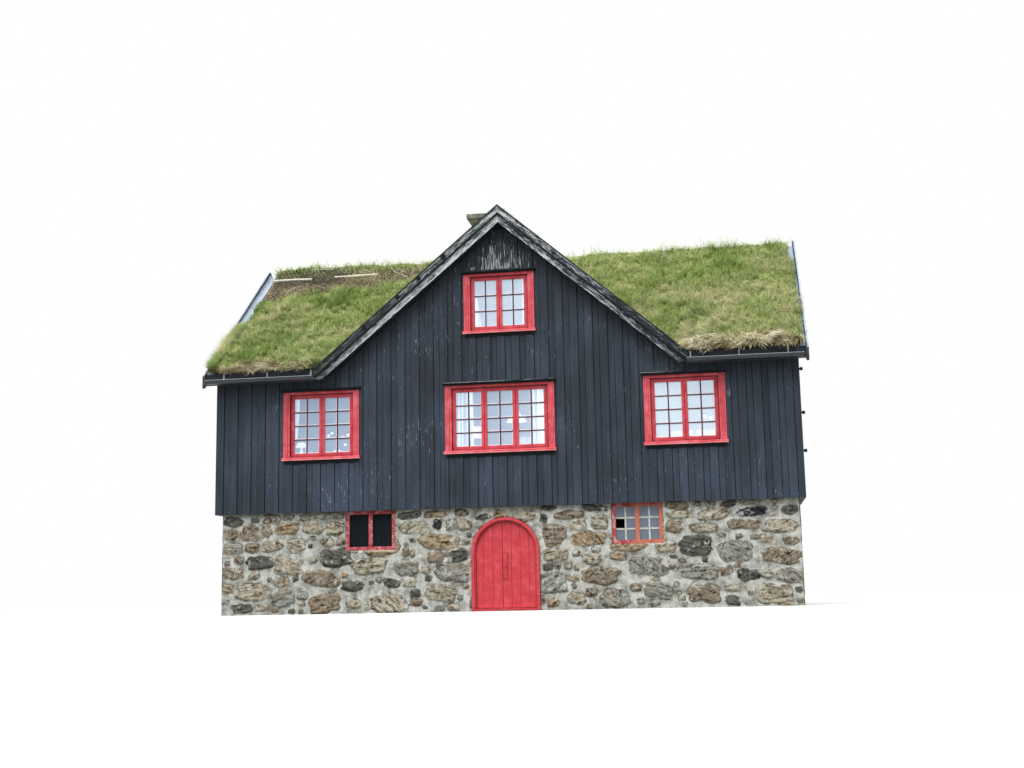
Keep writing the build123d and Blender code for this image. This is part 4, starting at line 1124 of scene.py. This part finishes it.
# A curtain from its track down, gathered in folds; its free edge may narrow towards the foot
def curtain(name, x0, topX1, footX1, z0, z1, casing, values):
    folds = max(round((topX1 - x0) / values["fold"]), 1)
    columns, rows = folds * values["steps"], values["rows"]
    points = []
    for row in range(rows + 1):
        share = row / rows
        for column in range(columns + 1):
            across = column / columns
            x = x0 + (topX1 + (footX1 - topX1) * (1 - share) - x0) * across
            wave = math.sin(across * folds * 2 * math.pi + 0.4 * math.sin(share * 3))
            points.append((x, glassBack + values["behind"] + values["depth"] * wave, z0 + (z1 - z0) * share))
    piece = meshPiece(name, points, gridQuads(rows, columns).tolist(), linen, smooth=True)


# Each curtain's light and casing, and as (share, metres) of that light its fixed edge, its free edge at the
# top and at the foot, its foot and its top
front, gable = "window_casings_front", "window_casing_gable"
curtains = {
    "curtain_left_window": (storeyGlass[0], front, (0, -0.02), (0, 0.095), (0, 0.035), (0, 0.29), (1, 0.01)),
    "curtain_centre_left": (storeyGlass[2], front, (0, -0.02), (0, 0.335), (0, 0.345), (0, -0.01), (1, 0.01)),
    "curtain_gable_left": (gableGlass[0], gable, (0, -0.02), (0, 0.05), (0, 0.13), (0, -0.01), (0, 0.62)),
    "curtain_gable_right": (gableGlass[1], gable, (1, -0.045), (1, 0.01), (1, 0.01), (0, -0.01), (1, 0.01)),
    "curtain_centre_right": (storeyGlass[4], front, (0.5, 0.02), (1, 0.01), (1, 0.01), (0, -0.01), (1, 0.01)),
}
for name, (light, casing, *places) in curtains.items():
    edges = [spot(light, axis, *place) for axis, place in zip((0, 0, 0, 2, 2), places)]
    curtain(name, *edges, casing, linenValues)


# Pieces turned from (radius, height) profiles. Each stands behind a light's glass, at a (share, metres)
# across it.
def turnedPiece(name, number, across, rise, profile, back, material, around=20, flatness=0.6):
    light = storeyGlass[number]
    x, y, z = spot(light, 0, *across), glassBack + back, light[0][2] + rise
    points = []
    for radius, height in profile:
        for step in range(around):
            angle = 2 * math.pi * step / around
            points.append((x + radius * math.cos(angle), y + radius * flatness * math.sin(angle), z + height))
    meshPiece(name, points, tubeFaces(len(profile), around), material, smooth=True)


# Glazed white porcelain and lamp glass, with a painted glow so that they show bright behind the glass
porcelain = plainFinish("glazedWhitePorcelain", "#e9eff2", "#ffffff", 20.0, Roughness=0.3,
                        Emission_Color="#ffffff", Emission_Strength=1.1)
# Pale pink paper, with a pink painted glow standing for light through it
pinkPaper = plainFinish("palePinkPaperShade", "#f3dede", "#fff1f0", 12.0, Roughness=0.8,
                        Emission_Color=(1, 0.62, 0.62, 1), Emission_Strength=1.0)
tableLamp = [(0.05, 0.0), (0.05, 0.02), (0.02, 0.05), (0.016, 0.11), (0.016, 0.125), (0.125, 0.125),
             (0.115, 0.16), (0.08, 0.215), (0.06, 0.225), (0.001, 0.226)]
pendant = [(0.21, 0.0), (0.19, 0.04), (0.165, 0.075), (0.14, 0.11), (0.1, 0.14), (0.072, 0.18), (0.045, 0.23),
           (0.02, 0.28), (0.006, 0.34), (0.005, 0.5)]
paperCone = [(0.058, 0.0), (0.052, 0.04), (0.034, 0.1), (0.014, 0.13), (0.001, 0.134)]
paperShade = [(0.108, 0.0), (0.112, 0.08), (0.112, 0.23), (0.001, 0.232)]
bowl = [(0.001, 0.0), (0.05, 0.002), (0.062, 0.02), (0.05, 0.034), (0.001, 0.035)]
bird = [(0.001, 0.0), (0.022, 0.005), (0.036, 0.024), (0.028, 0.046), (0.001, 0.056)]
mullion = storeyGlass[4][0][0] - storeyGlass[3][1][0]
turnedPiece("lamp_left_window", 0, (0, 0.095), 0.02, tableLamp, 0.14, porcelain)
turnedPiece("lamp_centre_window", 3, (1, mullion / 2 - 0.03), 0.49, pendant, 0.25, porcelain)
turnedPiece("shade_centre_window", 2, (1, -0.125), 0.19, paperShade, 0.16, pinkPaper)
turnedPiece("cone_right_window", 6, (0, 0.19), 0.005, paperCone, 0.06, porcelain)
turnedPiece("bowl_right_window", 5, (0, 0.36), -0.005, bowl, 0.06, porcelain)
# Ornaments as (light, metres across, metres up)
ornaments = [(1, 0.13, 0.375), (1, 0.06, 0.33), (1, 0.47, 0.33), (1, 0.36, 0.285), (1, 0.41, 0.13),
             (1, 0.2, 0.0), (1, 0.28, 0.0), (6, 0.42, 0.0), (6, 0.32, 0.36), (6, 0.43, 0.33)]
for number, (light, across, rise) in enumerate(ornaments):
    turnedPiece(f"ornament_{number + 1}", light, (0, across), rise, bird, 0.05, porcelain)
print("stage: behind the windows")


# Roof turf

# Matted sod: olive thatch between living stems, and bare brown thatch near the left ridge
sodValues = dict(green="#a4b36a", olive="#b8bb80", straw="#cfc69b", brown="#8f8363", bareDark="#54493c",
                 bareMid="#978b75", barePale="#d6cbb3", step=0.1, rim=0.03, liftLow=0.012, liftHigh=0.085,
                 inset=0.012)


def mattedSod(values):
    material = newMaterial("mattedGrassSod", Roughness=0.95, Specular_IOR_Level=0.1)
    add = partial(addNode, material)
    place = add("TexCoord").outputs["Object"]
    bare = add("Attribute", attribute_name="bare").outputs["Fac"]
    broad = add("TexNoise", {"Vector": place, "Scale": 1.6, "Detail": 8.0, "Roughness": 0.7})
    living = add("ValToRGB", [broad], [
        (0.32, values["brown"]), (0.42, values["green"]), (0.56, values["olive"]), (0.7, values["straw"])])
    fine = add("Mapping", {"Vector": place, "Scale": (1, 0.35, 0.6)})
    fine = add("TexNoise", {"Vector": fine, "Scale": 38.0, "Detail": 5.0, "Roughness": 0.72})
    dead = add("ValToRGB", [fine], [
        (0.38, values["bareDark"]), (0.52, values["bareMid"]), (0.64, values["barePale"])])
    shade = add("ValToRGB", [fine], [(0.35, "#808080"), (0.58, "#ffffff")])
    color = add("Mix", {0: bare, 6: living, 7: dead}, data_type="RGBA")
    color = add("Mix", {0: 1.0, 6: color, 7: shade}, data_type="RGBA", blend_type="MULTIPLY")
    bump = add("Bump", {"Height": fine, "Strength": 1.0, "Distance": 0.03})
    return coat(material, Base_Color=color, Normal=bump)


# Grass blades: fresh green to olive and straw. Each tuft has its own tint, and the roots are darker as painted
# shade.
bladeValues = dict(shade="#8ba35e", fresh="#b6cb84", light="#dfe9b8", olive="#e6e3bd", straw="#f8f1d6",
                   tintReach=0.42, tipReach=0.16, patchScale=0.8, rootShade="#b0b0b0")
strawValues = dict(shade="#5c4e33", fresh="#a3926a", light="#d8ca9c", olive="#eee3bc", straw="#f9f2d8",
                   tintReach=0.62, tipReach=0.16, patchScale=1.6, rootShade="#5a5348")


def grassBlade(name, values):
    material = newMaterial(name, Roughness=0.6, Specular_IOR_Level=0.25)
    add = partial(addNode, material)
    place = add("TexCoord").outputs["Object"]
    along, tint = (add("Attribute", attribute_name=mark).outputs["Fac"] for mark in ("along", "tint"))
    level = add("TexNoise", {"Vector": place, "Scale": values["patchScale"], "Detail": 4.0, "Roughness": 0.6})
    for mark, reach in ((tint, values["tintReach"]), (along, values["tipReach"])):
        level = add("Math", [mark, reach, level], operation="MULTIPLY_ADD")
    shades = [values[shade] for shade in ("shade", "fresh", "light", "olive", "straw")]
    color = add("ValToRGB", [level], list(zip((0.48, 0.66, 0.84, 0.97, 1.0), shades)))
    root = add("ValToRGB", [along], [(0.0, values["rootShade"]), (0.45, "#ffffff")])
    color = add("Mix", {0: 1.0, 6: color, 7: root}, data_type="RGBA", blend_type="MULTIPLY")
    return coat(material, Base_Color=color)


sod = mattedSod(sodValues)
blade = grassBlade("livingGrassBlades", bladeValues)
straw = grassBlade("driedStraw", strawValues)
# Dark brown soil full of roots, at the cut edges of the turf
soil = plainFinish("rootedTurfSoil", "#2f2519", "#5a4a33", 22.0, 0.02, Roughness=0.95)
dress([n for n in nodes if n.startswith("turf_") and n != "turf_boards"], soil)


def fractal(x, y, scale, seed, octaves=3):
    return noise.fractal(Vector((x / scale, y / scale, seed)), 0.9, 2.0, octaves)


def clamp(value):
    return min(max(value, 0.0), 1.0)


# The thatch has slid from the front slope below the left ridge and lies bare there. Along the ridge itself a
# mound of grass stands, highest at the left.
bareValues = dict(left=-5.7, right=-1.3, top=0.14, deepLeft=1.3, deepRight=0.5, edge=0.16)
moundValues = dict(left=-6.1, right=-1.0, leftHeight=0.16, rightHeight=0.05, halfWidth=0.3)
flashingValues = dict(width={-1: 0.155, 1: 0.085}, openTo={-1: 2.1, 1: 0.5}, closedFrom={-1: 3.0, 1: 1.1})


def bareAmount(x, y):
    if y > -bareValues["top"] or x > bareValues["right"]:
        return 0.0
    share = clamp((x - bareValues["left"]) / (bareValues["right"] - bareValues["left"]))
    depth = bareValues["deepLeft"] + (bareValues["deepRight"] - bareValues["deepLeft"]) * share
    depth += 0.22 * fractal(x, y, 0.6, 4.4)
    top = clamp((-y - bareValues["top"]) / 0.1)
    return clamp((depth + y) / bareValues["edge"]) * top


def mound(x, y):
    height = moundValues["rightHeight"]
    if x < moundValues["right"]:
        height = moundValues["leftHeight"] * (0.8 + 0.5 * fractal(x, 0, 1.1, 8.8))
    return height * math.exp(-(y / moundValues["halfWidth"]) ** 2)


def sodLift(x, y):
    rise = clamp(0.5 + 0.5 * fractal(x, y, 0.5, 1.7))
    lift = sodValues["liftLow"] + (sodValues["liftHigh"] - sodValues["liftLow"]) * rise
    return lift * (1 - 0.6 * bareAmount(x, y)) + mound(x, y)


def roofTop(x, y):
    if y < 0 and -y <= gableEdgeY and valleyLeft - 0.5 < x < valleyRight + 0.5:
        return max(mainTop(y), gableTop(x))
    return mainTop(y)


def slopeOf(x, y):
    if y < 0 and gableTop(x) > mainTop(y):
        return "gable_left" if x < ridgeX else "gable_right"
    if y < 0:
        return "front_left" if x < ridgeX else "front_right"
    return "back"


slopeNormals = {
    "front_left": Vector((0, -mainSlope, 1)).normalized(),
    "front_right": Vector((0, -mainSlope, 1)).normalized(),
    "gable_left": Vector((-leftSlope, 0, 1)).normalized(),
    "gable_right": Vector((rightSlope, 0, 1)).normalized(),
    "back": Vector((0, mainSlope, 1)).normalized(),
}


# The pale flashing stays open beside the upper verge and is grown over lower down
def sodEdge(y, side):
    start, end = flashingValues["openTo"][side], flashingValues["closedFrom"][side]
    cover = clamp((abs(y) - start) / (end - start))
    return vergeAt(y, side) - side * (sodValues["rim"] / 2 + flashingValues["width"][side] * (1 - cover))


# The sod is one uneven sheet over all slopes, with its rim tucked into the soil
def sodSheet(name, leftOf, rightOf, y0, y1, values):
    columns = round((rightOf(0) - leftOf(0)) / values["step"])
    rows = round((y1 - y0) / values["step"])
    shares = np.arange(columns + 1) / columns
    shares[1], shares[-2] = shares[1] * 0.2, 1 - shares[1] * 0.2
    share, down = np.meshgrid(shares, np.linspace(y0, y1, rows + 1))
    left = np.array([leftOf(y) for y in down[:, 0]])[:, None]
    right = np.array([rightOf(y) for y in down[:, 0]])[:, None]
    across = left + (right - left) * share
    points, bare = [], []
    for row in range(rows + 1):
        for column in range(columns + 1):
            x, y = across[row, column], down[row, column]
            rim = row in (0, rows) and abs(y) > 0.01 or column in (0, columns) and abs(x - ridgeX) > 0.01
            points.append((x, y, roofTop(x, y) + (-values["rim"] if rim else sodLift(x, y))))
            bare.append(bareAmount(x, y))
    points = np.array(points)
    quads = gridQuads(rows, columns)
    beforeGable = (points[:, 1] < -gableEdgeY) & (points[:, 0] > valleyLeft) & (points[:, 0] < valleyRight)
    quads = quads[~beforeGable[quads].any(axis=1)]
    return arrayPiece(name, points, [quads], dict(bare=np.array(bare)), sod, smooth=True)


leftVerge, rightVerge = partial(sodEdge, side=-1), partial(sodEdge, side=1)
eave = edgeY - sodValues["inset"]
sodSheet("sod_front_left", leftVerge, lambda y: ridgeX, -eave, 0.0, sodValues)
sodSheet("sod_front_right", lambda y: ridgeX, rightVerge, -eave, 0.0, sodValues)
sodSheet("sod_back", leftVerge, rightVerge, 0.0, eave, sodValues)
print("stage: sod")


bladeShape = dict(steps=(0.0, 0.38, 0.74, 1.0), taper=(1.0, 0.85, 0.55, 0.0), seed=23)
boxLow, boxHigh = (np.array(tuple(c)) for c in cadBox)


def unit(rows):
    return rows / np.maximum(np.linalg.norm(rows, axis=1), 1e-6)[:, None]


# Roots in the sod at x and y, sunk a little into it
def rootsAt(x, y, sunk):
    return np.array([(a, b, roofTop(a, b) + sodLift(a, b) - sunk) for a, b in zip(x, y)])


# Many blades as one mesh: each is two quads and a tip that bend over towards lean, kept inside the part's box
def bladePiece(name, roots, grow, lean, lengths, widths, bends, tints, material):
    count = len(roots)
    side = unit(np.cross(grow, lean))
    rows, along = [], []
    for step, taper in zip(bladeShape["steps"], bladeShape["taper"]):
        centre = roots + grow * (lengths * step * (1 - 0.4 * bends * step))[:, None]
        centre = centre + lean * (lengths * bends * step ** 2)[:, None]
        offset = side * (widths * taper / 2)[:, None]
        rows += [centre - offset, centre + offset] if taper > 0 else [centre]
        along += [np.full(count, step)] * (2 if taper > 0 else 1)
    width = len(rows)
    points = np.clip(np.stack(rows, 1).reshape(-1, 3), boxLow, boxHigh)
    base = (np.arange(count) * width)[:, None]
    quads = np.concatenate([base + np.array([0, 1, 3, 2]), base + np.array([2, 3, 5, 4])], 1).reshape(-1, 4)
    marks = dict(along=np.stack(along, 1).reshape(-1), tint=np.repeat(tints, width))
    return arrayPiece(name, points, [quads, base + np.array([4, 5, 6])], marks, material)


# Living grass: blades as wide as two real ones, so that they show
grassValues = dict(front_left=20000, front_right=23000, gable_left=7000, gable_right=7000, back=26000,
                   tuft=6, tuftReach=0.027, lengthLow=0.15, lengthHigh=0.37, widthLow=0.0065,
                   widthHigh=0.012, margin=0.006, shortAbove=6.6, shortBefore=-3.3, crest=0.2, flow=80,
                   sunk=0.01)

# Dry patches on the front slopes, as (x, y, reach, how dry)
dryPatches = [(-4.4, -2.6, 1.9, -0.05), (4.9, -3.15, 0.5, 0.75), (5.95, -2.7, 0.35, 0.55),
              (3.5, -2.05, 0.5, 0.35), (4.6, -2.4, 1.2, 0.3), (5.2, -3.4, 1.0, 0.3), (2.6, -0.9, 0.35, 0.5),
              (3.3, -3.6, 0.35, -0.5), (4.3, -1.2, 0.9, -0.25)]


def dryness(x, y):
    if y > 0:
        return 0.0
    return sum(dry * math.exp(-((x - cx) ** 2 + (y - cy) ** 2) / reach ** 2)
               for cx, cy, reach, dry in dryPatches)


def growGrass(slope, count, values):
    rng = np.random.default_rng(bladeShape["seed"] + len(slope))
    low, high = vergeAt(0, -1), vergeAt(0, 1)
    x0, x1 = {"front_left": (low, ridgeX), "front_right": (ridgeX, high), "gable_left": (valleyLeft, ridgeX),
              "gable_right": (ridgeX, valleyRight), "back": (low, high)}[slope]
    y0, y1 = (0.0, edgeY) if slope == "back" else (-edgeY, 0.0)
    margin = values["margin"]
    normal = slopeNormals[slope]
    downhill = Vector((normal.x, normal.y, 0)).normalized()
    downhill = (downhill - normal * downhill.dot(normal)).normalized()
    sideways = normal.cross(downhill)
    chimneyLow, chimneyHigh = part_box("chimney_stack")
    roots, leans, sizes, tints = [], [], [], []
    while len(roots) < count:
        x = rng.uniform(x0 + margin, x1 - margin)
        y = rng.uniform(y0 + margin, y1 - margin)
        if slopeOf(x, y) != slope or rng.random() < bareAmount(x, y) * 0.98:
            continue
        if not sodEdge(y, -1) + margin < x < sodEdge(y, 1) - margin:
            continue
        if y < -gableEdgeY and valleyLeft < x < valleyRight:
            continue
        if chimneyLow.x < x < chimneyHigh.x and chimneyLow.y < y < chimneyHigh.y:
            continue
        height = roofTop(x, y) + sodLift(x, y) - values["sunk"]
        flow = math.radians(values["flow"]) * fractal(x, y, 1.6, 9.1) + rng.normal(0, 0.22)
        size = 0.8 + 0.45 * fractal(x, y, 0.7, 6.3)
        if slope.startswith("gable"):
            size *= 0.4 if y < values["shortBefore"] or height > values["shortAbove"] else 0.8
        tint = clamp(rng.normal(0.45, 0.24) + 0.4 * clamp(3 * fractal(x, y, 0.8, 12.4) - 0.9) + dryness(x, y))
        onCrest = abs(y) <= values["crest"]
        for _ in range(values["tuft"]):
            dx, dy = rng.normal(0, values["tuftReach"], 2)
            slide = normal.x * dx + normal.y * dy
            roots.append((x + dx, y + dy, height - slide / normal.z))
            turn = flow + rng.normal(0, 1.8 if onCrest else 0.22)
            leans.append(downhill * math.cos(turn) + sideways * math.sin(turn))
            sizes.append(size * 0.85 if onCrest else size)
            tints.append(clamp(tint + rng.normal(0, 0.07)))
    count = len(roots)
    leans = np.array([tuple(v) for v in leans])
    upright = np.array((normal + Vector((0, 0, 1))).normalized())
    grow = unit(upright + leans * 0.32 + rng.normal(0, 0.12, (count, 3)))
    lengths = rng.uniform(values["lengthLow"], values["lengthHigh"], count) * np.clip(sizes, 0.45, 1.3)
    widths = rng.uniform(values["widthLow"], values["widthHigh"], count)
    bends = rng.uniform(0.3, 0.95, count)
    bladePiece(f"grass_{slope}", np.array(roots), grow, leans, lengths, widths, bends, np.array(tints), blade)


for slopeName in slopeNormals:
    growGrass(slopeName, grassValues[slopeName], grassValues)
print("stage: grass")


# Dead straw: lobes of matted stems over the eaves
fringeValues = dict(front=15000, back=6000, tuft=7, band=0.5, lengthLow=0.12, lengthHigh=0.32, widthLow=0.009,
                    widthHigh=0.018, overEdge=0.01, seed=31)


def strawFringe(name, spans, side, count, values):
    rng = np.random.default_rng(values["seed"] + len(name))
    total = sum(b - a for a, b in spans)
    roots, leans, lengths, tints = [], [], [], []
    for start, end in spans:
        for _ in range(int(count / values["tuft"] * (end - start) / total)):
            x = rng.uniform(start, end)
            swell = clamp(0.4 + 1.2 * fractal(x, side, 0.7, 2.2)) * (1.0 if x > ridgeX else 0.45)
            back = rng.beta(1.0, 1.9) * values["band"] * (0.25 + 0.75 * swell)
            turn = 1.8 * fractal(x, back, 0.4, 5.7) + rng.normal(0, 0.3)
            tint = (0.36 if x > ridgeX else 0.2) + 1.1 * fractal(x, back, 0.14, 3.3)
            tint = clamp(tint + rng.normal(0, 0.14))
            lift = rng.uniform(-0.015, 0.12) * swell
            size = rng.uniform(values["lengthLow"], values["lengthHigh"]) * (0.5 + 0.7 * swell)
            for _ in range(values["tuft"]):
                a = x + rng.normal(0, 0.035)
                b = side * (edgeY - values["overEdge"] - abs(back + rng.normal(0, 0.03)))
                roots.append((a, b, roofTop(a, b) + sodLift(a, b) + lift))
                leans.append((
                    turn + rng.normal(0, 0.25), side * rng.uniform(0.4, 1.0), -rng.uniform(0.2, 1.0)))
                lengths.append(size * rng.uniform(0.8, 1.2))
                tints.append(clamp(tint + rng.normal(0, 0.08)))
    count = len(roots)
    leans = unit(np.array(leans))
    grow = unit(np.array((0, side * 0.6, 0.6)) + leans * 0.4 + rng.normal(0, 0.2, (count, 3)))
    widths = rng.uniform(values["widthLow"], values["widthHigh"], count)
    bends = rng.uniform(0.6, 1.0, count)
    bladePiece(name, np.array(roots), grow, leans, np.array(lengths), widths, bends, np.array(tints), straw)


eaveBoards = solidBoxes("turf_boards")
frontSpans = [(low[0] + 0.1, high[0] - 0.1) for low, high in eaveBoards if low[1] < 0]
backSpans = [(vergeAt(edgeY, -1) + 0.02, vergeAt(edgeY, 1) - 0.02)]
strawFringe("straw_fringe_front", frontSpans, -1, fringeValues["front"], fringeValues)
strawFringe("straw_fringe_back", backSpans, 1, fringeValues["back"], fringeValues)


# Loose blades from given roots. Tints are given one by one, or as their mean and spread.
def strewBlades(name, rng, roots, leans, tints, material, values):
    count = len(roots)
    grow = unit(np.array(values["grow"]) + rng.normal(0, values["spread"], (count, 3)))
    if len(tints) == 2:
        tints = np.clip(rng.normal(*tints, count), 0, 1)
    lengths, widths, bends = (rng.uniform(*values[key], count) for key in ("lengths", "widths", "bends"))
    bladePiece(name, roots, grow, unit(np.stack(leans, 1)), lengths, widths, bends, np.array(tints), material)


# Thin tufts on the bare thatch
deadTuftValues = dict(count=4200, seed=31, sunk=0.005, grow=(0, -0.2, 1.0), spread=0.4, lengths=(0.06, 0.16),
                      widths=(0.006, 0.011), bends=(0.6, 1.0))


def deadTufts(values):
    rng = np.random.default_rng(values["seed"])
    xs, ys, tints = [], [], []
    while len(xs) < values["count"]:
        x = rng.uniform(bareValues["left"] - 0.4, bareValues["right"])
        y = -rng.uniform(bareValues["top"], bareValues["deepLeft"] + 0.2)
        if rng.random() < bareAmount(x, y) and x > sodEdge(y, -1) + 0.05:
            xs.append(x)
            ys.append(y)
            tints.append(clamp(rng.normal(0.22, 0.2)))
    count = len(xs)
    leans = rng.normal(0, 1.0, count), -rng.uniform(0.2, 1.0, count), -rng.uniform(0.1, 0.8, count)
    strewBlades("dead_tufts", rng, rootsAt(xs, ys, values["sunk"]), leans, tints, straw, values)


# Thin straw along the edge of the turf behind the lower right rake
rakeStrawValues = dict(count=1800, seed=40, start=0.45, band=0.2, sunk=0.01, grow=(0.3, 0, 1.0), spread=0.25,
                       tints=(0.35, 0.3), lengths=(0.06, 0.16), widths=(0.008, 0.015), bends=(0.4, 0.9))


def rakeStraw(values):
    rng = np.random.default_rng(values["seed"])
    count = values["count"]
    x = ridgeX + rng.uniform(values["start"], 1.0, count) * (valleyRight - ridgeX - 0.1)
    y = -gableEdgeY + 0.02 + rng.beta(1.0, 2.5, count) * values["band"]
    leans = rng.uniform(0.0, 1.0, count), rng.normal(0, 0.4, count), -rng.uniform(0.1, 0.9, count)
    roots = rootsAt(x, y, values["sunk"])
    strewBlades("straw_behind_right_rake", rng, roots, leans, values["tints"], straw, values)


# Grass that leans out over the lower left verge
vergeGrassValues = dict(count=3200, seed=36, start=2.45, band=0.16, sunk=0.01, grow=(-0.2, -0.2, 1.0),
                        spread=0.2, tints=(0.5, 0.25), lengths=(0.12, 0.26), widths=(0.007, 0.013),
                        bends=(0.4, 0.9))


def vergeGrass(values):
    rng = np.random.default_rng(values["seed"])
    count = values["count"]
    y = -rng.uniform(values["start"], edgeY - 0.05, count)
    x = np.array([sodEdge(v, -1) for v in y]) + rng.uniform(0.0, values["band"], count)
    leans = -rng.uniform(0.0, 0.6, count), -rng.uniform(0.3, 1.0, count), -rng.uniform(0.1, 0.8, count)
    roots = rootsAt(x, y, values["sunk"])
    strewBlades("grass_over_left_verge", rng, roots, leans, values["tints"], blade, values)


deadTufts(deadTuftValues)
rakeStraw(rakeStrawValues)
vergeGrass(vergeGrassValues)
print("stage: straw")


# Pale battens that pin the thatch near the left ridge, and bent twigs, each as (points, radius) in metres
stickValues = dict(batten="#f2eddd", bark="#b9b09b", seat=0.035, around=6)
sticks = [
    ([(-6.0, -0.37), (-5.5, -0.36), (-5.07, -0.38)], 0.042),
    ([(-4.52, -0.35), (-4.0, -0.35), (-3.47, -0.33)], 0.036),
    ([(-5.1, -0.12), (-4.6, -0.13)], 0.018),
    ([(-3.31, 0.01), (-3.20, -0.15), (-3.07, -0.28), (-2.88, -0.40), (-2.69, -0.52)], 0.012),
    ([(2.41, 0.05), (2.85, -0.08), (3.27, -0.19)], 0.016),
]


def layStick(name, path, radius, material, values):
    centres = [Vector((x, y, roofTop(x, y) + sodLift(x, y) + values["seat"])) for x, y in path]
    around = values["around"]
    points = []
    for number, centre in enumerate(centres):
        ahead = centres[min(number + 1, len(centres) - 1)] - centres[max(number - 1, 0)]
        side = ahead.cross(Vector((0, 0, 1))).normalized()
        over = side.cross(ahead).normalized()
        for corner in range(around):
            angle = corner * 2 * math.pi / around
            points.append(centre + (side * math.cos(angle) + over * math.sin(angle)) * radius)
    last = len(points)
    ends = [tuple(reversed(range(around))), tuple(range(last - around, last))]
    meshPiece(name, points, tubeFaces(len(centres), around) + ends, material)


# Tarred net that holds the thatch down between the left ridge and the battens
netValues = dict(left=-6.0, right=-4.2, top=-0.10, bottom=-0.62, mesh=0.095, strand=0.014, seat=0.05,
                 tar="#24251f", sheen="#4b4a40")

strandSides = [(0, 3, 5, 2), (1, 2, 5, 4), (0, 1, 4, 3)]


def thatchNet(material, values):
    width, drop = values["right"] - values["left"], values["top"] - values["bottom"]
    half = values["strand"] / 2
    points, faces = [], []
    for turn in (-1, 1):
        for number in range(int((width + drop) / values["mesh"])):
            start = values["left"] - (drop if turn > 0 else 0) + number * values["mesh"]
            steps = [(start + turn * drop * part / 4, values["top"] - drop * part / 4) for part in range(5)]
            path = [(x, y) for x, y in steps if values["left"] <= x <= values["right"]]
            for pair in zip(path, path[1:]):
                base = len(points)
                for x, y in pair:
                    z = roofTop(x, y) + sodLift(x, y) + values["seat"]
                    points += [(x - half, y, z), (x + half, y, z), (x, y, z + half * 1.6)]
                faces += [tuple(base + i for i in side) for side in strandSides]
    meshPiece("thatch_net", points, faces, material)


# Tarred hemp cord, dull brown-black
netTar = plainFinish("tarredNetCord", netValues["tar"], netValues["sheen"], 60.0, Roughness=0.8)
# Weathered batten wood: silvery grey to near white
battenWood = plainFinish("silveredBattenWood", stickValues["bark"], stickValues["batten"], 26.0,
                         Roughness=0.85)
thatchNet(netTar, netValues)
for number, (path, radius) in enumerate(sticks):
    layStick(f"roof_stick_{number + 1}", path, radius, battenWood, stickValues)
print("stage: sticks")

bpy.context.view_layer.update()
shown = [o for o in bpy.data.objects if o.type == "MESH" and not o.hide_render]
print("stage: triangles", sum(len(o.data.loops) - 2 * len(o.data.polygons) for o in shown))
